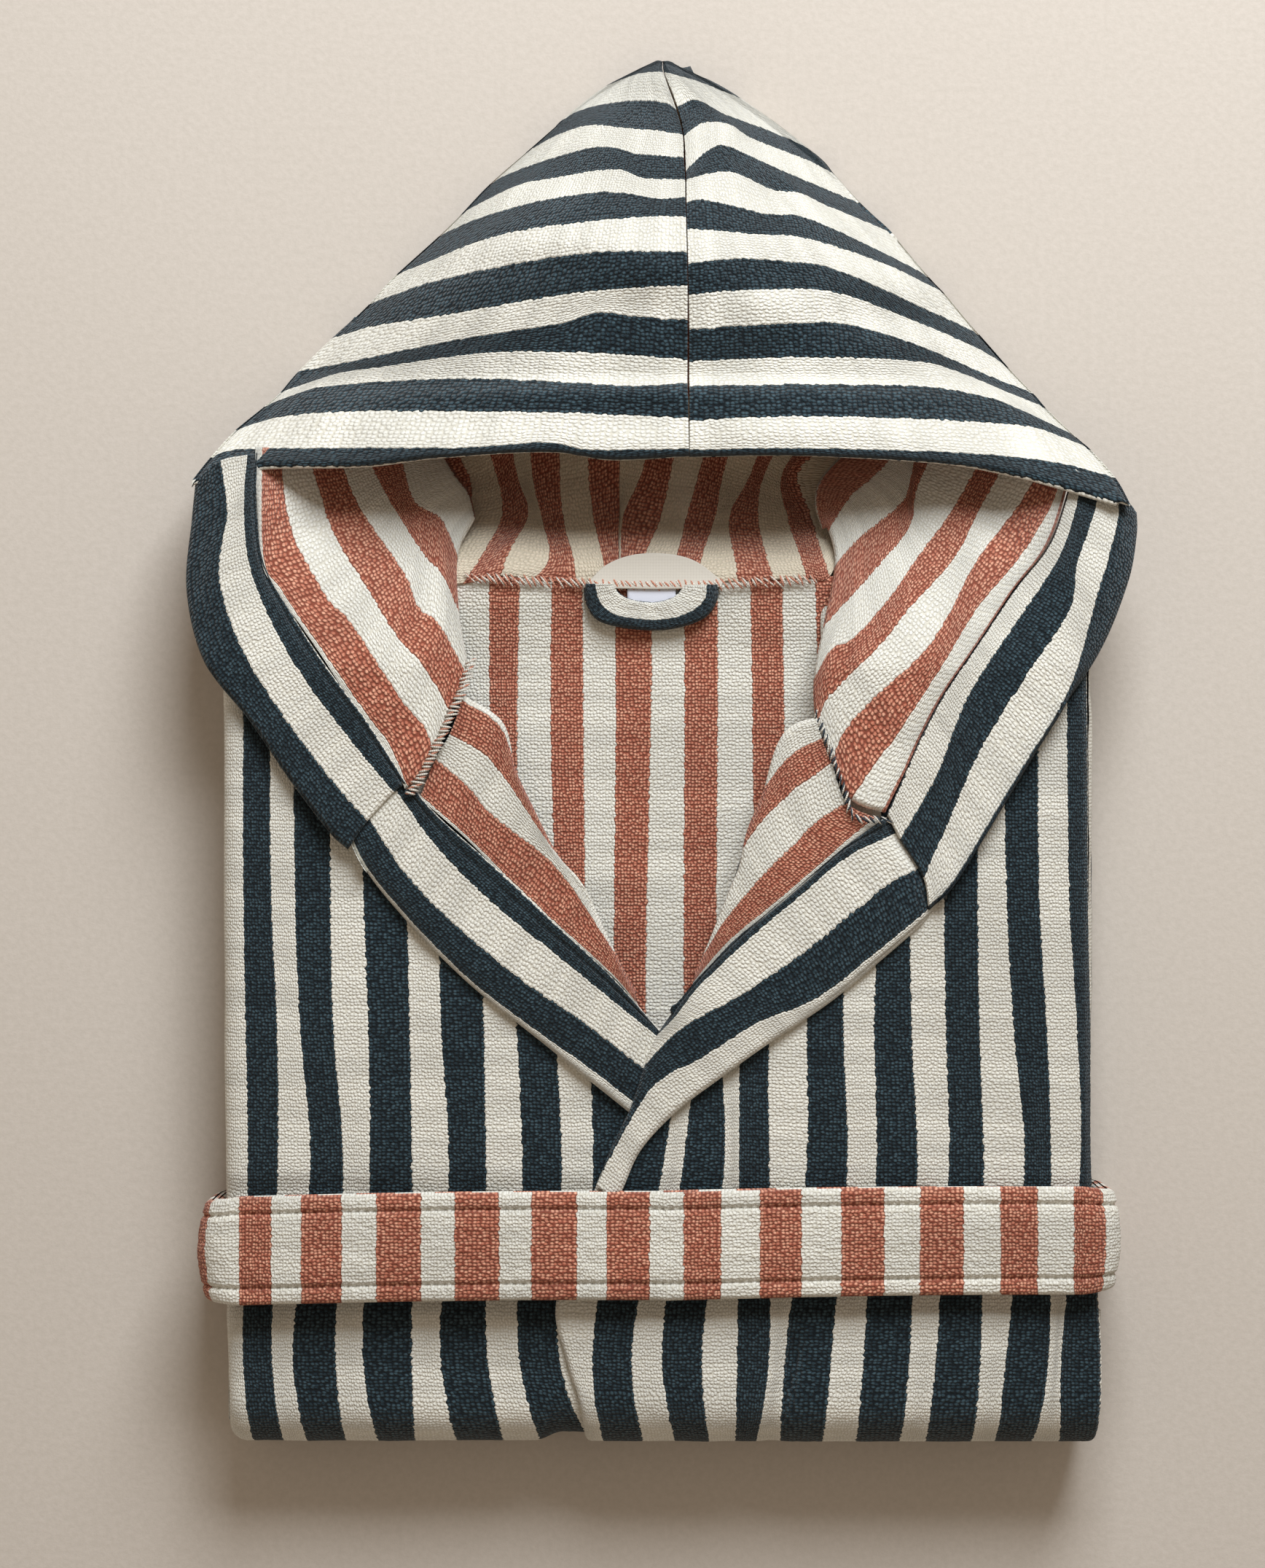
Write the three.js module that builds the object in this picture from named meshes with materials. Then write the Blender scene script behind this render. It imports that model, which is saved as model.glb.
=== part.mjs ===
// Folded child's hooded terry bathrobe with its belt wrapped round the pack.
// Units are millimetres, +Z is up, +Y points to the hood's peak, +X is the viewer's right.
// The origin is the bottom centre of the bounding box.
// Every fabric layer is one closed body, and layers that touch in the real robe
// are kept a fraction of a millimetre apart.
import * as THREE from 'three';

const robe = new THREE.Group();
robe.name = 'hooded_bathrobe';

// Colours of the two-faced terry and its trims.
const OUTER_TERRY = { color: 0x36464f, roughness: 0.95 };
const INNER_TERRY = { color: 0xbf7a63, roughness: 0.95 };
const CREAM_TERRY = { color: 0xdfdad0, roughness: 0.95 };
const WOVEN_LABEL = { color: 0xd8d2c6, roughness: 0.7 };
const SATIN_TAG = { color: 0xc9ccd6, roughness: 0.5 };

const LAYER_GAP = 0.35;

function terry(kind) {
  return new THREE.MeshStandardMaterial({ color: kind.color, roughness: kind.roughness, metalness: 0 });
}

function addNode(name, geometry, kind) {
  const mesh = new THREE.Mesh(geometry, terry(kind));
  mesh.name = name;
  robe.add(mesh);
  return mesh;
}

// A smooth curve through a few [x, y, z] points, sampled evenly by parameter.
function samples(points, count) {
  const curve = new THREE.CatmullRomCurve3(
    points.map(([x, y, z]) => new THREE.Vector3(x, y, z)), false, 'centripetal');
  return Array.from({ length: count + 1 }, (unused, i) => curve.getPoint(i / count));
}

// A cloth layer of constant height between two edge curves that run the same way.
// The curves give its upper face, which crown lifts in the middle or heightAt reshapes.
function layer(name, kind, edgeA, edgeB, thickness, options = {}) {
  const { along = 14, across = 6, crown = 0, heightAt = null } = options;
  const a = samples(edgeA, along);
  const b = samples(edgeB, along);
  const columns = across + 1;
  const perFace = (along + 1) * columns;
  const positions = new Float32Array(perFace * 2 * 3);
  for (let i = 0; i <= along; i += 1) {
    for (let j = 0; j <= across; j += 1) {
      const t = j / across;
      const x = a[i].x + (b[i].x - a[i].x) * t;
      const y = a[i].y + (b[i].y - a[i].y) * t;
      const flat = a[i].z + (b[i].z - a[i].z) * t;
      const z = heightAt ? heightAt(x, y, flat, t) : flat + crown * 4 * t * (1 - t);
      const k = (i * columns + j) * 3;
      positions.set([x, y, z], k);
      positions.set([x, y, z - thickness], perFace * 3 + k);
    }
  }
  const index = [];
  const at = (i, j) => i * columns + j;
  const quad = (p, q, r, s) => index.push(p, q, r, p, r, s);
  for (let i = 0; i < along; i += 1) {
    for (let j = 0; j < across; j += 1) {
      quad(at(i, j), at(i + 1, j), at(i + 1, j + 1), at(i, j + 1));
      quad(perFace + at(i, j), perFace + at(i, j + 1), perFace + at(i + 1, j + 1), perFace + at(i + 1, j));
    }
  }
  for (let i = 0; i < along; i += 1) {
    quad(at(i, 0), perFace + at(i, 0), perFace + at(i + 1, 0), at(i + 1, 0));
    quad(at(i, across), at(i + 1, across), perFace + at(i + 1, across), perFace + at(i, across));
  }
  for (let j = 0; j < across; j += 1) {
    quad(at(0, j), at(0, j + 1), perFace + at(0, j + 1), perFace + at(0, j));
    quad(at(along, j), perFace + at(along, j), perFace + at(along, j + 1), at(along, j + 1));
  }
  const geometry = new THREE.BufferGeometry();
  geometry.setAttribute('position', new THREE.BufferAttribute(positions, 3));
  geometry.setIndex(index);
  // The winding above faces out when edge A is on the left of its own direction of travel.
  if (signedVolume(geometry) < 0) {
    flip(geometry);
  }
  geometry.computeVertexNormals();
  return addNode(name, geometry, kind);
}

function signedVolume(geometry) {
  const p = geometry.attributes.position;
  const idx = geometry.index.array;
  const a = new THREE.Vector3();
  const b = new THREE.Vector3();
  const c = new THREE.Vector3();
  let volume = 0;
  for (let i = 0; i < idx.length; i += 3) {
    a.fromBufferAttribute(p, idx[i]);
    b.fromBufferAttribute(p, idx[i + 1]);
    c.fromBufferAttribute(p, idx[i + 2]);
    volume += a.dot(b.cross(c)) / 6;
  }
  return volume;
}

function flip(geometry) {
  const idx = geometry.index.array;
  for (let i = 0; i < idx.length; i += 3) {
    const keep = idx[i + 1];
    idx[i + 1] = idx[i + 2];
    idx[i + 2] = keep;
  }
}

// A block with a constant side profile, given as [y, z] corners, running across from x0 to x1.
function crossBlock(name, kind, profile, x0, x1) {
  const shape = new THREE.Shape(profile.map(([y, z]) => new THREE.Vector2(y, z)));
  const geometry = new THREE.ExtrudeGeometry(shape, { depth: x1 - x0, bevelEnabled: false, steps: 1 });
  // The extrusion runs along local Z; the profile's first axis becomes Y and its second Z.
  geometry.applyMatrix4(new THREE.Matrix4().set(0, 0, 1, x0, 1, 0, 0, 0, 0, 1, 0, 0, 0, 0, 0, 1));
  return addNode(name, geometry, kind);
}

// A side profile for a soft folded slab: a rectangle whose two ends are rounded folds.
function foldProfile(y0, y1, z0, z1) {
  const r = (z1 - z0) / 2;
  const points = [];
  for (let i = 0; i <= 6; i += 1) {
    const a = -Math.PI / 2 + (Math.PI * i) / 6;
    points.push([y1 - r + r * Math.cos(a), z0 + r + r * Math.sin(a)]);
  }
  for (let i = 0; i <= 6; i += 1) {
    const a = Math.PI / 2 + (Math.PI * i) / 6;
    points.push([y0 + r + r * Math.cos(a), z0 + r + r * Math.sin(a)]);
  }
  return points;
}

// ---------------------------------------------------------------- heights of the stack
const BELT_CLEARANCE = 7.0;
const SKIRT_MIDDLE_TOP = 11.6;
const SKIRT_HEM_TOP = 20.6;
const SLEEVE_TOP = 28.4;
const BACK_TOP = 33.2;
const LEFT_PANEL_TOP = 41.8;
const RIGHT_PANEL_TOP = 46.2;
const PANEL_THICKNESS = 4.0;
const PACK_FRONT = -250.0;

// The skirt's middle third is the lowest layer. Its end wall is the big fold at the
// pack's lower edge. It is raised where the belt runs under it.
function skirtMiddleThird() {
  const underBelt = -146;
  const profile = [
    [50, 0], [53, 3], [54, SKIRT_MIDDLE_TOP / 2], [53, SKIRT_MIDDLE_TOP - 3], [50, SKIRT_MIDDLE_TOP],
    [-236, SKIRT_MIDDLE_TOP], [-243, 16], [-244, 37], [-247.5, 37], [PACK_FRONT, 31],
    [PACK_FRONT, 21], [-246, 11], [-236, BELT_CLEARANCE], [underBelt - 7, BELT_CLEARANCE], [underBelt, 0],
  ];
  profile.reverse();
  crossBlock('skirt_middle_third', OUTER_TERRY, profile, -152.5, 150.5);
}

function skirtHemThird() {
  const profile = foldProfile(-233, 50, SKIRT_MIDDLE_TOP + LAYER_GAP, SKIRT_HEM_TOP);
  crossBlock('skirt_hem_third', OUTER_TERRY, profile, -149, 147);
}

// Each sleeve is a flattened tube laid down the back, inside the pack.
function sleeves() {
  const profile = foldProfile(-205, 46, SKIRT_HEM_TOP + LAYER_GAP, SLEEVE_TOP);
  crossBlock('sleeve_left', OUTER_TERRY, profile, -147, -4);
  crossBlock('sleeve_right', OUTER_TERRY, profile, 2, 145);
}

function backPanel() {
  const profile = [
    [-239, SLEEVE_TOP + LAYER_GAP], [56, SLEEVE_TOP + LAYER_GAP], [56, BACK_TOP], [-239, BACK_TOP],
  ];
  crossBlock('back_panel', INNER_TERRY, profile, -151.5, 149.5);
}

// The robe's sides wrap from the front panels down to the folded layers below.
function sideFolds() {
  const top = LEFT_PANEL_TOP - PANEL_THICKNESS - LAYER_GAP;
  const profile = [[-242, SKIRT_MIDDLE_TOP], [44, SKIRT_MIDDLE_TOP], [44, top], [-242, top]];
  crossBlock('side_fold_left', OUTER_TERRY, profile, -157.2, -153);
  crossBlock('side_fold_right', OUTER_TERRY, profile, 151, 154.8);
}

function frontPanelLeft() {
  const outer = [[-157.5, 52], [-157.5, -40], [-157.5, -140], [-155.8, -200], [-155.5, -249.5]];
  const inner = [[-76, 52], [-73, 22], [-44, -26], [-6, -98], [22, -140], [28, -200], [30, -249.5]];
  const z = LEFT_PANEL_TOP;
  layer('front_panel_left', OUTER_TERRY, outer.map(([x, y]) => [x, y, z]), inner.map(([x, y]) => [x, y, z]),
    PANEL_THICKNESS, { along: 18 });
}

// The right front panel laps over the left one; its rolled edge runs down the middle.
function frontPanelRight() {
  const inner = [[62, 46], [56, 15], [30, -45], [14, -84], [2, -112], [-12, -140], [-26, -158],
    [-37.5, -197], [-33.5, -222], [-27.5, -249.5]];
  const outer = [[149, 20], [152, -20], [153.5, -100], [154.5, -155], [156.4, -200], [156.4, -249.5]];
  const z = RIGHT_PANEL_TOP;
  const rollDown = (x, y, flat, t) => flat - 2.6 * Math.max(0, (t - 0.85) / 0.15);
  layer('front_panel_right', OUTER_TERRY, inner.map(([x, y]) => [x, y, z]), outer.map(([x, y]) => [x, y, z]),
    PANEL_THICKNESS, { along: 20, across: 10, heightAt: rollDown });
}

// ---------------------------------------------------------------- turned-back lapels
const LAPEL_THICKNESS = 4.0;
const BAND_THICKNESS = 4.6;
const LEFT_LAPEL_TOP = LEFT_PANEL_TOP + LAYER_GAP + LAPEL_THICKNESS;
const RIGHT_LAPEL_TOP = RIGHT_PANEL_TOP + LAYER_GAP + LAPEL_THICKNESS;

function lapelLeft() {
  const z = LEFT_LAPEL_TOP;
  const bandSide = [[-86, -14.5, z], [-66, -39, z], [-36, -65, z], [-8.5, -98, z]];
  const rollSide = [[-71, 16, z], [-54, -4, z], [-34, -40, z], [-6.5, -95, z]];
  layer('lapel_left', INNER_TERRY, bandSide, rollSide, LAPEL_THICKNESS);
}

function frontBandLeft() {
  const z = LEFT_LAPEL_TOP + 0.6;
  const outerEdge = [[-112.5, -31, z], [-96, -58, z], [-60, -92, z], [-36, -110, z], [-14.5, -128, z]];
  const innerEdge = [[-91, -11.5, z], [-68, -42.5, z], [-38, -68.5, z], [-13, -97, z], [-4.6, -106, z]];
  layer('front_band_left', OUTER_TERRY, outerEdge, innerEdge, BAND_THICKNESS);
}

function lapelRight() {
  const z = RIGHT_LAPEL_TOP;
  const bandSide = [[78, -28.5, z], [56, -48, z], [35, -66, z], [14.5, -84, z]];
  const rollSide = [[59, -8, z], [46, -18, z], [26, -45, z], [12.5, -80, z]];
  layer('lapel_right', INNER_TERRY, bandSide, rollSide, LAPEL_THICKNESS);
}

// The right band runs from the hood band down past the V and tapers into the front edge.
function frontBandRight() {
  const z = RIGHT_LAPEL_TOP + 0.6;
  const outerEdge = [[93, -60, z], [68, -86, z], [38, -104, z], [12, -125, z], [-5, -143, z], [-14, -156.6, z]];
  const innerEdge = [[81.5, -29.5, z], [57, -51.5, z], [34, -71, z], [-1, -101, z], [-17, -137, z],
    [-23.5, -156.6, z]];
  layer('front_band_right', OUTER_TERRY, outerEdge, innerEdge, BAND_THICKNESS);
}

// ---------------------------------------------------------------- hood, lower part on the pack
const FLAP_TOP = 50.0;

// The flap's height falls where it hangs past the pack's shoulder edge.
function flapHeight(x, y, flat) {
  const past = Math.max(0, y - 40) / 50;
  return flat - 13 * past * past;
}

function hoodFlapLeft() {
  const z = LEFT_LAPEL_TOP + 2;
  const bandSide = [[-144, 89.5, z], [-142.5, 70, z], [-138, 57, z], [-123.5, 37, z], [-104, 9, z], [-92.5, -7, z]];
  const neckSide = [[-72, 74, z], [-74, 68, z], [-76, 57, z], [-71.5, 34, z], [-75, 14, z], [-87, -11, z]];
  layer('hood_flap_left', INNER_TERRY, bandSide, neckSide, 5, { heightAt: flapHeight });
}

function hoodBandLeft() {
  const z = LEFT_LAPEL_TOP + 2;
  const outerEdge = [[-168, 89.5, z], [-168.5, 70, z], [-170.5, 57, z], [-163.5, 31, z], [-133, -11, z],
    [-114, -29, z]];
  const innerEdge = [[-144.8, 89.5, z], [-143.5, 70, z], [-139, 57, z], [-124.5, 37, z], [-105, 8.6, z],
    [-93.5, -8, z]];
  layer('hood_band_left', OUTER_TERRY, outerEdge, innerEdge, 5, { heightAt: flapHeight });
}

function hoodFlapRight() {
  const z = FLAP_TOP + 1;
  const neckSide = [[59.5, 72, z], [58.5, 66, z], [56, 45, z], [53, 20, z], [57, 5, z], [61.5, -5.5, z]];
  const bandSide = [[130, 89.5, z], [124, 72, z], [116, 50, z], [100, 22, z], [87, -6, z], [80.5, -25, z]];
  layer('hood_flap_right', INNER_TERRY, neckSide, bandSide, 4.2, { heightAt: flapHeight });
}

function hoodBandRight() {
  const z = FLAP_TOP + 1;
  const innerEdge = [[130.8, 89.5, z], [124.8, 72, z], [116.8, 50, z], [100.8, 22, z], [87.8, -6, z], [81.8, -26, z]];
  const outerEdge = [[170.5, 78, z], [165, 58, z], [149, 20, z], [128, -8, z], [111, -40, z], [94.5, -56, z]];
  layer('hood_band_right', OUTER_TERRY, innerEdge, outerEdge, 4.2, { heightAt: flapHeight });
}

// The hood's lower back edge is sewn to the neckline; its seam allowance shows above the back panel.
function neckSeam() {
  const low = [[-69, 64, 36.5], [-40, 60, 37.5], [0, 58.5, 38], [40, 59, 37.5], [52, 60, 37]];
  const high = [[-66, 74, 32.5], [-40, 73.5, 33], [0, 73, 33.5], [40, 73.5, 33], [52, 74, 32.5]];
  layer('neck_seam', INNER_TERRY, low, high, 4, { along: 10, across: 3 });
}

function brandLabel() {
  const low = [[-26.5, 58.4, 39.0], [-12, 57.6, 39.3], [6, 57.6, 39.3], [20.5, 58.4, 39.0]];
  const high = [[-25.5, 60.5, 38.6], [-14, 68.5, 36.2], [8, 68.5, 36.2], [19.5, 60.5, 38.6]];
  layer('brand_label', WOVEN_LABEL, low, high, 0.8, { along: 12, across: 4 });
}

// A small self-fabric loop on the side seam, where the belt passes.
function beltLoop() {
  const profile = [[-212, 20], [-201.5, 20], [-201.5, 34], [-212, 34]];
  crossBlock('belt_loop_right', CREAM_TERRY, profile, 155.1, 156.7);
}

// ---------------------------------------------------------------- hood, upper part that lifts
const HOOD_REAR = 250.0;
const SHELL_THICKNESS = 4.0;
const FACE_EDGE = 103.0;

// Half-width of the hood's outline as a function of y: two nearly straight sides
// meeting in a rounded peak.
function hoodHalfWidth(y, side) {
  const corner = side < 0 ? 168 : 170;
  const fromPeak = (HOOD_REAR - y) / (HOOD_REAR - 92);
  return corner * Math.pow(Math.max(fromPeak, 0), 0.75);
}

// Upper face of the lifted front shell: highest at the face edge's centre, falling to the
// peak and to the sides.
function shellHeight(x, y) {
  const toPeak = Math.min(1, Math.max(0, (y - FACE_EDGE) / (HOOD_REAR - FACE_EDGE)));
  const middle = 50 - 39 * Math.pow(toPeak, 1.05);
  const w = hoodHalfWidth(y, Math.sign(x)) + 0.001;
  const toSide = Math.min(1, Math.abs(x) / w);
  const edge = 9 + 25 * Math.pow(Math.min(1, Math.max(0, 1 - (y - 93) / 45)), 1.5);
  return edge + (middle - edge) * (1 - Math.pow(toSide, 2.2));
}

function hoodFront(name, side) {
  const seam = side * 1.6;
  const centre = [[seam, FACE_EDGE, 0], [seam, 150, 0], [seam, 200, 0], [seam, 240, 0], [seam, 248, 0]];
  const w = (y) => hoodHalfWidth(y, side);
  const rim = [
    [side * w(93), 93, 0], [side * w(150), 150, 0], [side * w(200), 200, 0], [side * w(236), 236, 0],
    [side * 6, 250, 0],
  ];
  const height = (x, y) => shellHeight(x, y);
  layer(name, OUTER_TERRY, centre, rim, SHELL_THICKNESS, { along: 18, across: 12, heightAt: height });
}

// The back half of the hood falls from the neck to the ground and lies flat to the peak.
function backLayerHeight(x, y) {
  const t = Math.min(1, Math.max(0, (y - 76) / 34));
  const s = t * t * (3 - 2 * t);
  return 32 * (1 - s) + 4.2 * s;
}

function hoodBack(name, side) {
  const seam = side * 0.3;
  const w = (y) => hoodHalfWidth(y, side) - 3;
  const centre = [[seam, 75, 0], [seam, 110, 0], [seam, 150, 0], [seam, 200, 0], [seam, 243, 0]];
  const rim = [
    [side * 58, 75.5, 0], [side * 102, 106, 0], [side * w(150), 150, 0], [side * w(200), 200, 0], [side * 4, 244, 0],
  ];
  layer(name, INNER_TERRY, centre, rim, 4.2, { along: 20, across: 8, heightAt: backLayerHeight });
}

function hoodCentreSeam() {
  const left = [];
  const right = [];
  for (let i = 0; i <= 8; i += 1) {
    const y = FACE_EDGE + 0.5 + (i / 8) * 144;
    left.push([-1.2, y, shellHeight(0, y) - 0.9]);
    right.push([1.2, y, shellHeight(0, y) - 0.9]);
  }
  layer('hood_centre_seam', OUTER_TERRY, left, right, 3.0, { along: 16, across: 1 });
}

// The facing turned inside the face opening, seen as a strip along the shell's front edge.
function hoodHem() {
  const count = 12;
  const front = [];
  const rear = [];
  for (let i = 0; i <= count; i += 1) {
    const x = -140 + (280 * i) / count;
    const edge = FACE_EDGE - 10 * Math.pow(Math.abs(x) / 169, 2);
    const z = shellHeight(x, edge + 9) - SHELL_THICKNESS - 0.9;
    front.push([x, edge - 1.5, z]);
    rear.push([x, edge + 8, z - 0.4]);
  }
  layer('hood_hem', OUTER_TERRY, front, rear, 3, { along: 30, across: 2 });
}

// ---------------------------------------------------------------- belt wrapped twice
const BELT_NEAR = -198.5;
const BELT_FAR = -158.3;

// A rounded rectangle in the X-Z plane; the hole of each wrap is another one inside it.
function ringPath(Type, x0, x1, z0, z1, r) {
  const path = new Type();
  path.moveTo(x0 + r, z0);
  path.lineTo(x1 - r, z0);
  path.absarc(x1 - r, z0 + r, r, -Math.PI / 2, 0, false);
  path.lineTo(x1, z1 - r);
  path.absarc(x1 - r, z1 - r, r, 0, Math.PI / 2, false);
  path.lineTo(x0 + r, z1);
  path.absarc(x0 + r, z1 - r, r, Math.PI / 2, Math.PI, false);
  path.lineTo(x0, z0 + r);
  path.absarc(x0 + r, z0 + r, r, Math.PI, Math.PI * 1.5, false);
  return path;
}

function beltWrap(name, outer, inner, y0, y1) {
  const shape = ringPath(THREE.Shape, ...outer);
  shape.holes.push(ringPath(THREE.Path, ...inner));
  const geometry = new THREE.ExtrudeGeometry(shape, { depth: y1 - y0, bevelEnabled: false, curveSegments: 6 });
  // Local (x, y, z) becomes (x, -z, y): the ring stands in X-Z and runs along Y.
  geometry.applyMatrix4(new THREE.Matrix4().set(1, 0, 0, 0, 0, 0, -1, y1, 0, 1, 0, 0, 0, 0, 0, 1));
  addNode(name, geometry, INNER_TERRY);
}

function belt() {
  beltWrap('belt_outer_wrap', [-164.3, 161.7, 0, 58, 14], [-162.0, 159.4, 3.1, 54.2, 12], BELT_NEAR, BELT_FAR);
  beltWrap('belt_inner_wrap', [-161.7, 159.1, 3.4, 53.9, 11.6], [-159.5, 157.1, 6.5, 50.1, 9.6],
    BELT_NEAR + 0.5, BELT_FAR - 0.5);
}

// ---------------------------------------------------------------- small hanging pieces
const LOOP_CENTRE_X = -4.2;
const TAG_THICKNESS = 0.6;

// A terry strip sewn at both ends under the neck seam, hanging as a shallow smile.
function hangingLoop() {
  const halfOuter = 24;
  const depthOuter = 14.5;
  const halfInner = 14.5;
  const depthInner = 7.0;
  const sewnY = 56.0;
  const thickness = 2.6;
  const shape = new THREE.Shape();
  const steps = 20;
  for (let i = 0; i <= steps; i += 1) {
    const a = (Math.PI * i) / steps;
    const x = LOOP_CENTRE_X - halfOuter * Math.cos(a);
    const y = sewnY - depthOuter * Math.pow(Math.sin(a), 0.8);
    if (i === 0) {
      shape.moveTo(x, y);
    } else {
      shape.lineTo(x, y);
    }
  }
  for (let i = steps; i >= 0; i -= 1) {
    const a = (Math.PI * i) / steps;
    shape.lineTo(LOOP_CENTRE_X - halfInner * Math.cos(a), sewnY - depthInner * Math.pow(Math.sin(a), 0.8));
  }
  const geometry = new THREE.ExtrudeGeometry(shape, { depth: thickness, bevelEnabled: false });
  geometry.translate(0, 0, BACK_TOP + LAYER_GAP + TAG_THICKNESS + LAYER_GAP);
  addNode('hanging_loop', geometry, OUTER_TERRY);
}

// The care tag lies on the back panel behind the loop.
function careLabel() {
  const z = BACK_TOP + LAYER_GAP + TAG_THICKNESS;
  const left = [[-12.6, 57, z], [-12.6, 46, z]];
  const right = [[4.4, 57, z], [4.4, 46, z]];
  layer('care_label', SATIN_TAG, left, right, TAG_THICKNESS, { along: 2, across: 2 });
}

skirtMiddleThird();
skirtHemThird();
sleeves();
backPanel();
sideFolds();
frontPanelLeft();
frontPanelRight();
lapelLeft();
lapelRight();
frontBandLeft();
frontBandRight();
hoodFlapLeft();
hoodFlapRight();
hoodBandLeft();
hoodBandRight();
neckSeam();
brandLabel();
beltLoop();
hoodFront('hood_front_left', -1);
hoodFront('hood_front_right', 1);
hoodBack('hood_back_left', -1);
hoodBack('hood_back_right', 1);
hoodCentreSeam();
hoodHem();
belt();
hangingLoop();
careLabel();

export default robe;
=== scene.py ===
"""Folded child's hooded terry bathrobe with its belt wrapped round the pack.

Shapes are given in millimetres in the frame's axes and turned into metres when a mesh is made.
Every piece of cloth is a thick sheet lofted through rails, which are the borders between its
stripes, so the stripe coordinate u goes up by one from each rail to the next.
"""
import math

import bpy
import numpy as np
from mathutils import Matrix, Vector


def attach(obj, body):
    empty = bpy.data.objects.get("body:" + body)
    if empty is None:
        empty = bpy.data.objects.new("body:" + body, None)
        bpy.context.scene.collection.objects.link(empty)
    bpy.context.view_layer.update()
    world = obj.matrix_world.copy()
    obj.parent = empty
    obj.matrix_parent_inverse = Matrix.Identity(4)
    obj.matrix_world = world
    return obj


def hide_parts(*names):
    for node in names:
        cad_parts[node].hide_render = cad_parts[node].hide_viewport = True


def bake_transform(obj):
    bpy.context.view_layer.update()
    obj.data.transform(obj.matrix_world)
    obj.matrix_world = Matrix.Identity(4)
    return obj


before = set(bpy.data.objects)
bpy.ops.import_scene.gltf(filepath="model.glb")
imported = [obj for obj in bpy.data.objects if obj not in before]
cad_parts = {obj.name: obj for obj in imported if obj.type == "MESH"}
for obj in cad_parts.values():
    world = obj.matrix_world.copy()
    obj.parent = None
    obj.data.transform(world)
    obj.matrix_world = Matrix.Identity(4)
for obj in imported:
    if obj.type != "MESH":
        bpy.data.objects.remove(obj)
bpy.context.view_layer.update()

MM = 0.001
LOOPS_PER_STRIPE = 10
LOOP_PITCH = 1.25
CURVE_POINTS = 220


# ------------------------------------------------------------------ curves and noise
def smooth(points, count):
    """count points evenly spaced along a Catmull-Rom curve through points."""
    p = np.array(points, float)
    ends = np.vstack([2 * p[0] - p[1], p, 2 * p[-1] - p[-2]])
    t = np.linspace(0, 1, 17)[:-1, None]
    parts = []
    for a, b, c, d in zip(ends[:-3], ends[1:-2], ends[2:-1], ends[3:]):
        parts.append(0.5 * (2 * b + (c - a) * t + (2 * a - 5 * b + 4 * c - d) * t ** 2
                            + (3 * b - a - 3 * c + d) * t ** 3))
    parts.append(p[-1:])
    line = np.vstack(parts)
    reach = np.concatenate([[0], np.cumsum(np.linalg.norm(np.diff(line, axis=0), axis=1))])
    want = np.linspace(0, reach[-1], count)
    return np.stack([np.interp(want, reach, line[:, k]) for k in range(line.shape[1])], 1)


def lattice_noise(x, y, seed):
    """Smooth noise between -1 and 1 with features about one unit wide."""
    rng = np.random.default_rng(seed)
    table = rng.uniform(-1, 1, (256, 256))
    i = np.floor(x).astype(int)
    j = np.floor(y).astype(int)
    fx = x - i
    fy = y - j
    sx = fx * fx * (3 - 2 * fx)
    sy = fy * fy * (3 - 2 * fy)
    a = table[i % 256, j % 256]
    b = table[(i + 1) % 256, j % 256]
    c = table[i % 256, (j + 1) % 256]
    d = table[(i + 1) % 256, (j + 1) % 256]
    return (a * (1 - sx) + b * sx) * (1 - sy) + (c * (1 - sx) + d * sx) * sy


def step(low_edge, high_edge, value):
    t = np.clip((value - low_edge) / (high_edge - low_edge), 0, 1)
    return t * t * (3 - 2 * t)


def across_rails(rails, u, t):
    """Points at rail coordinate u and length fraction t, both arrays; cubic across the rails."""
    k, m, _ = rails.shape
    u = np.clip(u, 0, k - 1 - 1e-9)
    i = np.floor(u).astype(int)
    f = (u - i)[..., None]
    s = np.clip(t, 0, 1) * (m - 1)
    j = np.minimum(np.floor(s).astype(int), m - 2)
    g = (s - j)[..., None]

    def rail(n):
        inside = np.clip(n, 0, k - 1)
        return rails[inside, j] * (1 - g) + rails[inside, j + 1] * g

    b = rail(i)
    c = rail(i + 1)
    a = np.where((i > 0)[..., None], rail(i - 1), 2 * b - c)
    d = np.where((i < k - 2)[..., None], rail(i + 2), 2 * c - b)
    return 0.5 * (2 * b + (c - a) * f + (2 * a - 5 * b + 4 * c - d) * f ** 2
                  + (3 * b - a - 3 * c + d) * f ** 3)


def samples_with_fine_ends(length, spacing, fine_start, fine_end):
    """Positions from 0 to 1 about spacing apart, closer together within a few mm of an end."""
    count = max(2, int(round(length / spacing)))
    t = list(np.linspace(0, 1, count + 1))
    extra = np.array([0.08, 0.3, 0.62, 1.1, 1.9, 2.7])
    if fine_start:
        t += list(extra / length)
    if fine_end:
        t += list(1 - extra / length)
    t = np.unique(np.round(np.clip(t, 0, 1), 6))
    return t


def until_curve(rails, curve, nearest=1.5, otherwise=None):
    """A function of t: the rail coordinate at which each cross line reaches a curve."""
    dense = np.array([smooth(r, CURVE_POINTS) for r in rails])
    line = smooth(curve, 400)
    top = len(rails) - 1
    tries = np.linspace(0, top, 40 * top + 1)

    def meet(t):
        out = []
        for one in t[:, 0]:
            cross = across_rails(dense, tries, np.full(len(tries), one))
            away = np.linalg.norm(cross[:, None] - line[None], axis=2).min(1)
            out.append(tries[away.argmin()] if otherwise is None or away.min() < nearest else otherwise)
        return np.convolve(np.pad(out, 4, mode="edge"), np.ones(9) / 9, "valid")[:, None]

    return meet


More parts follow.
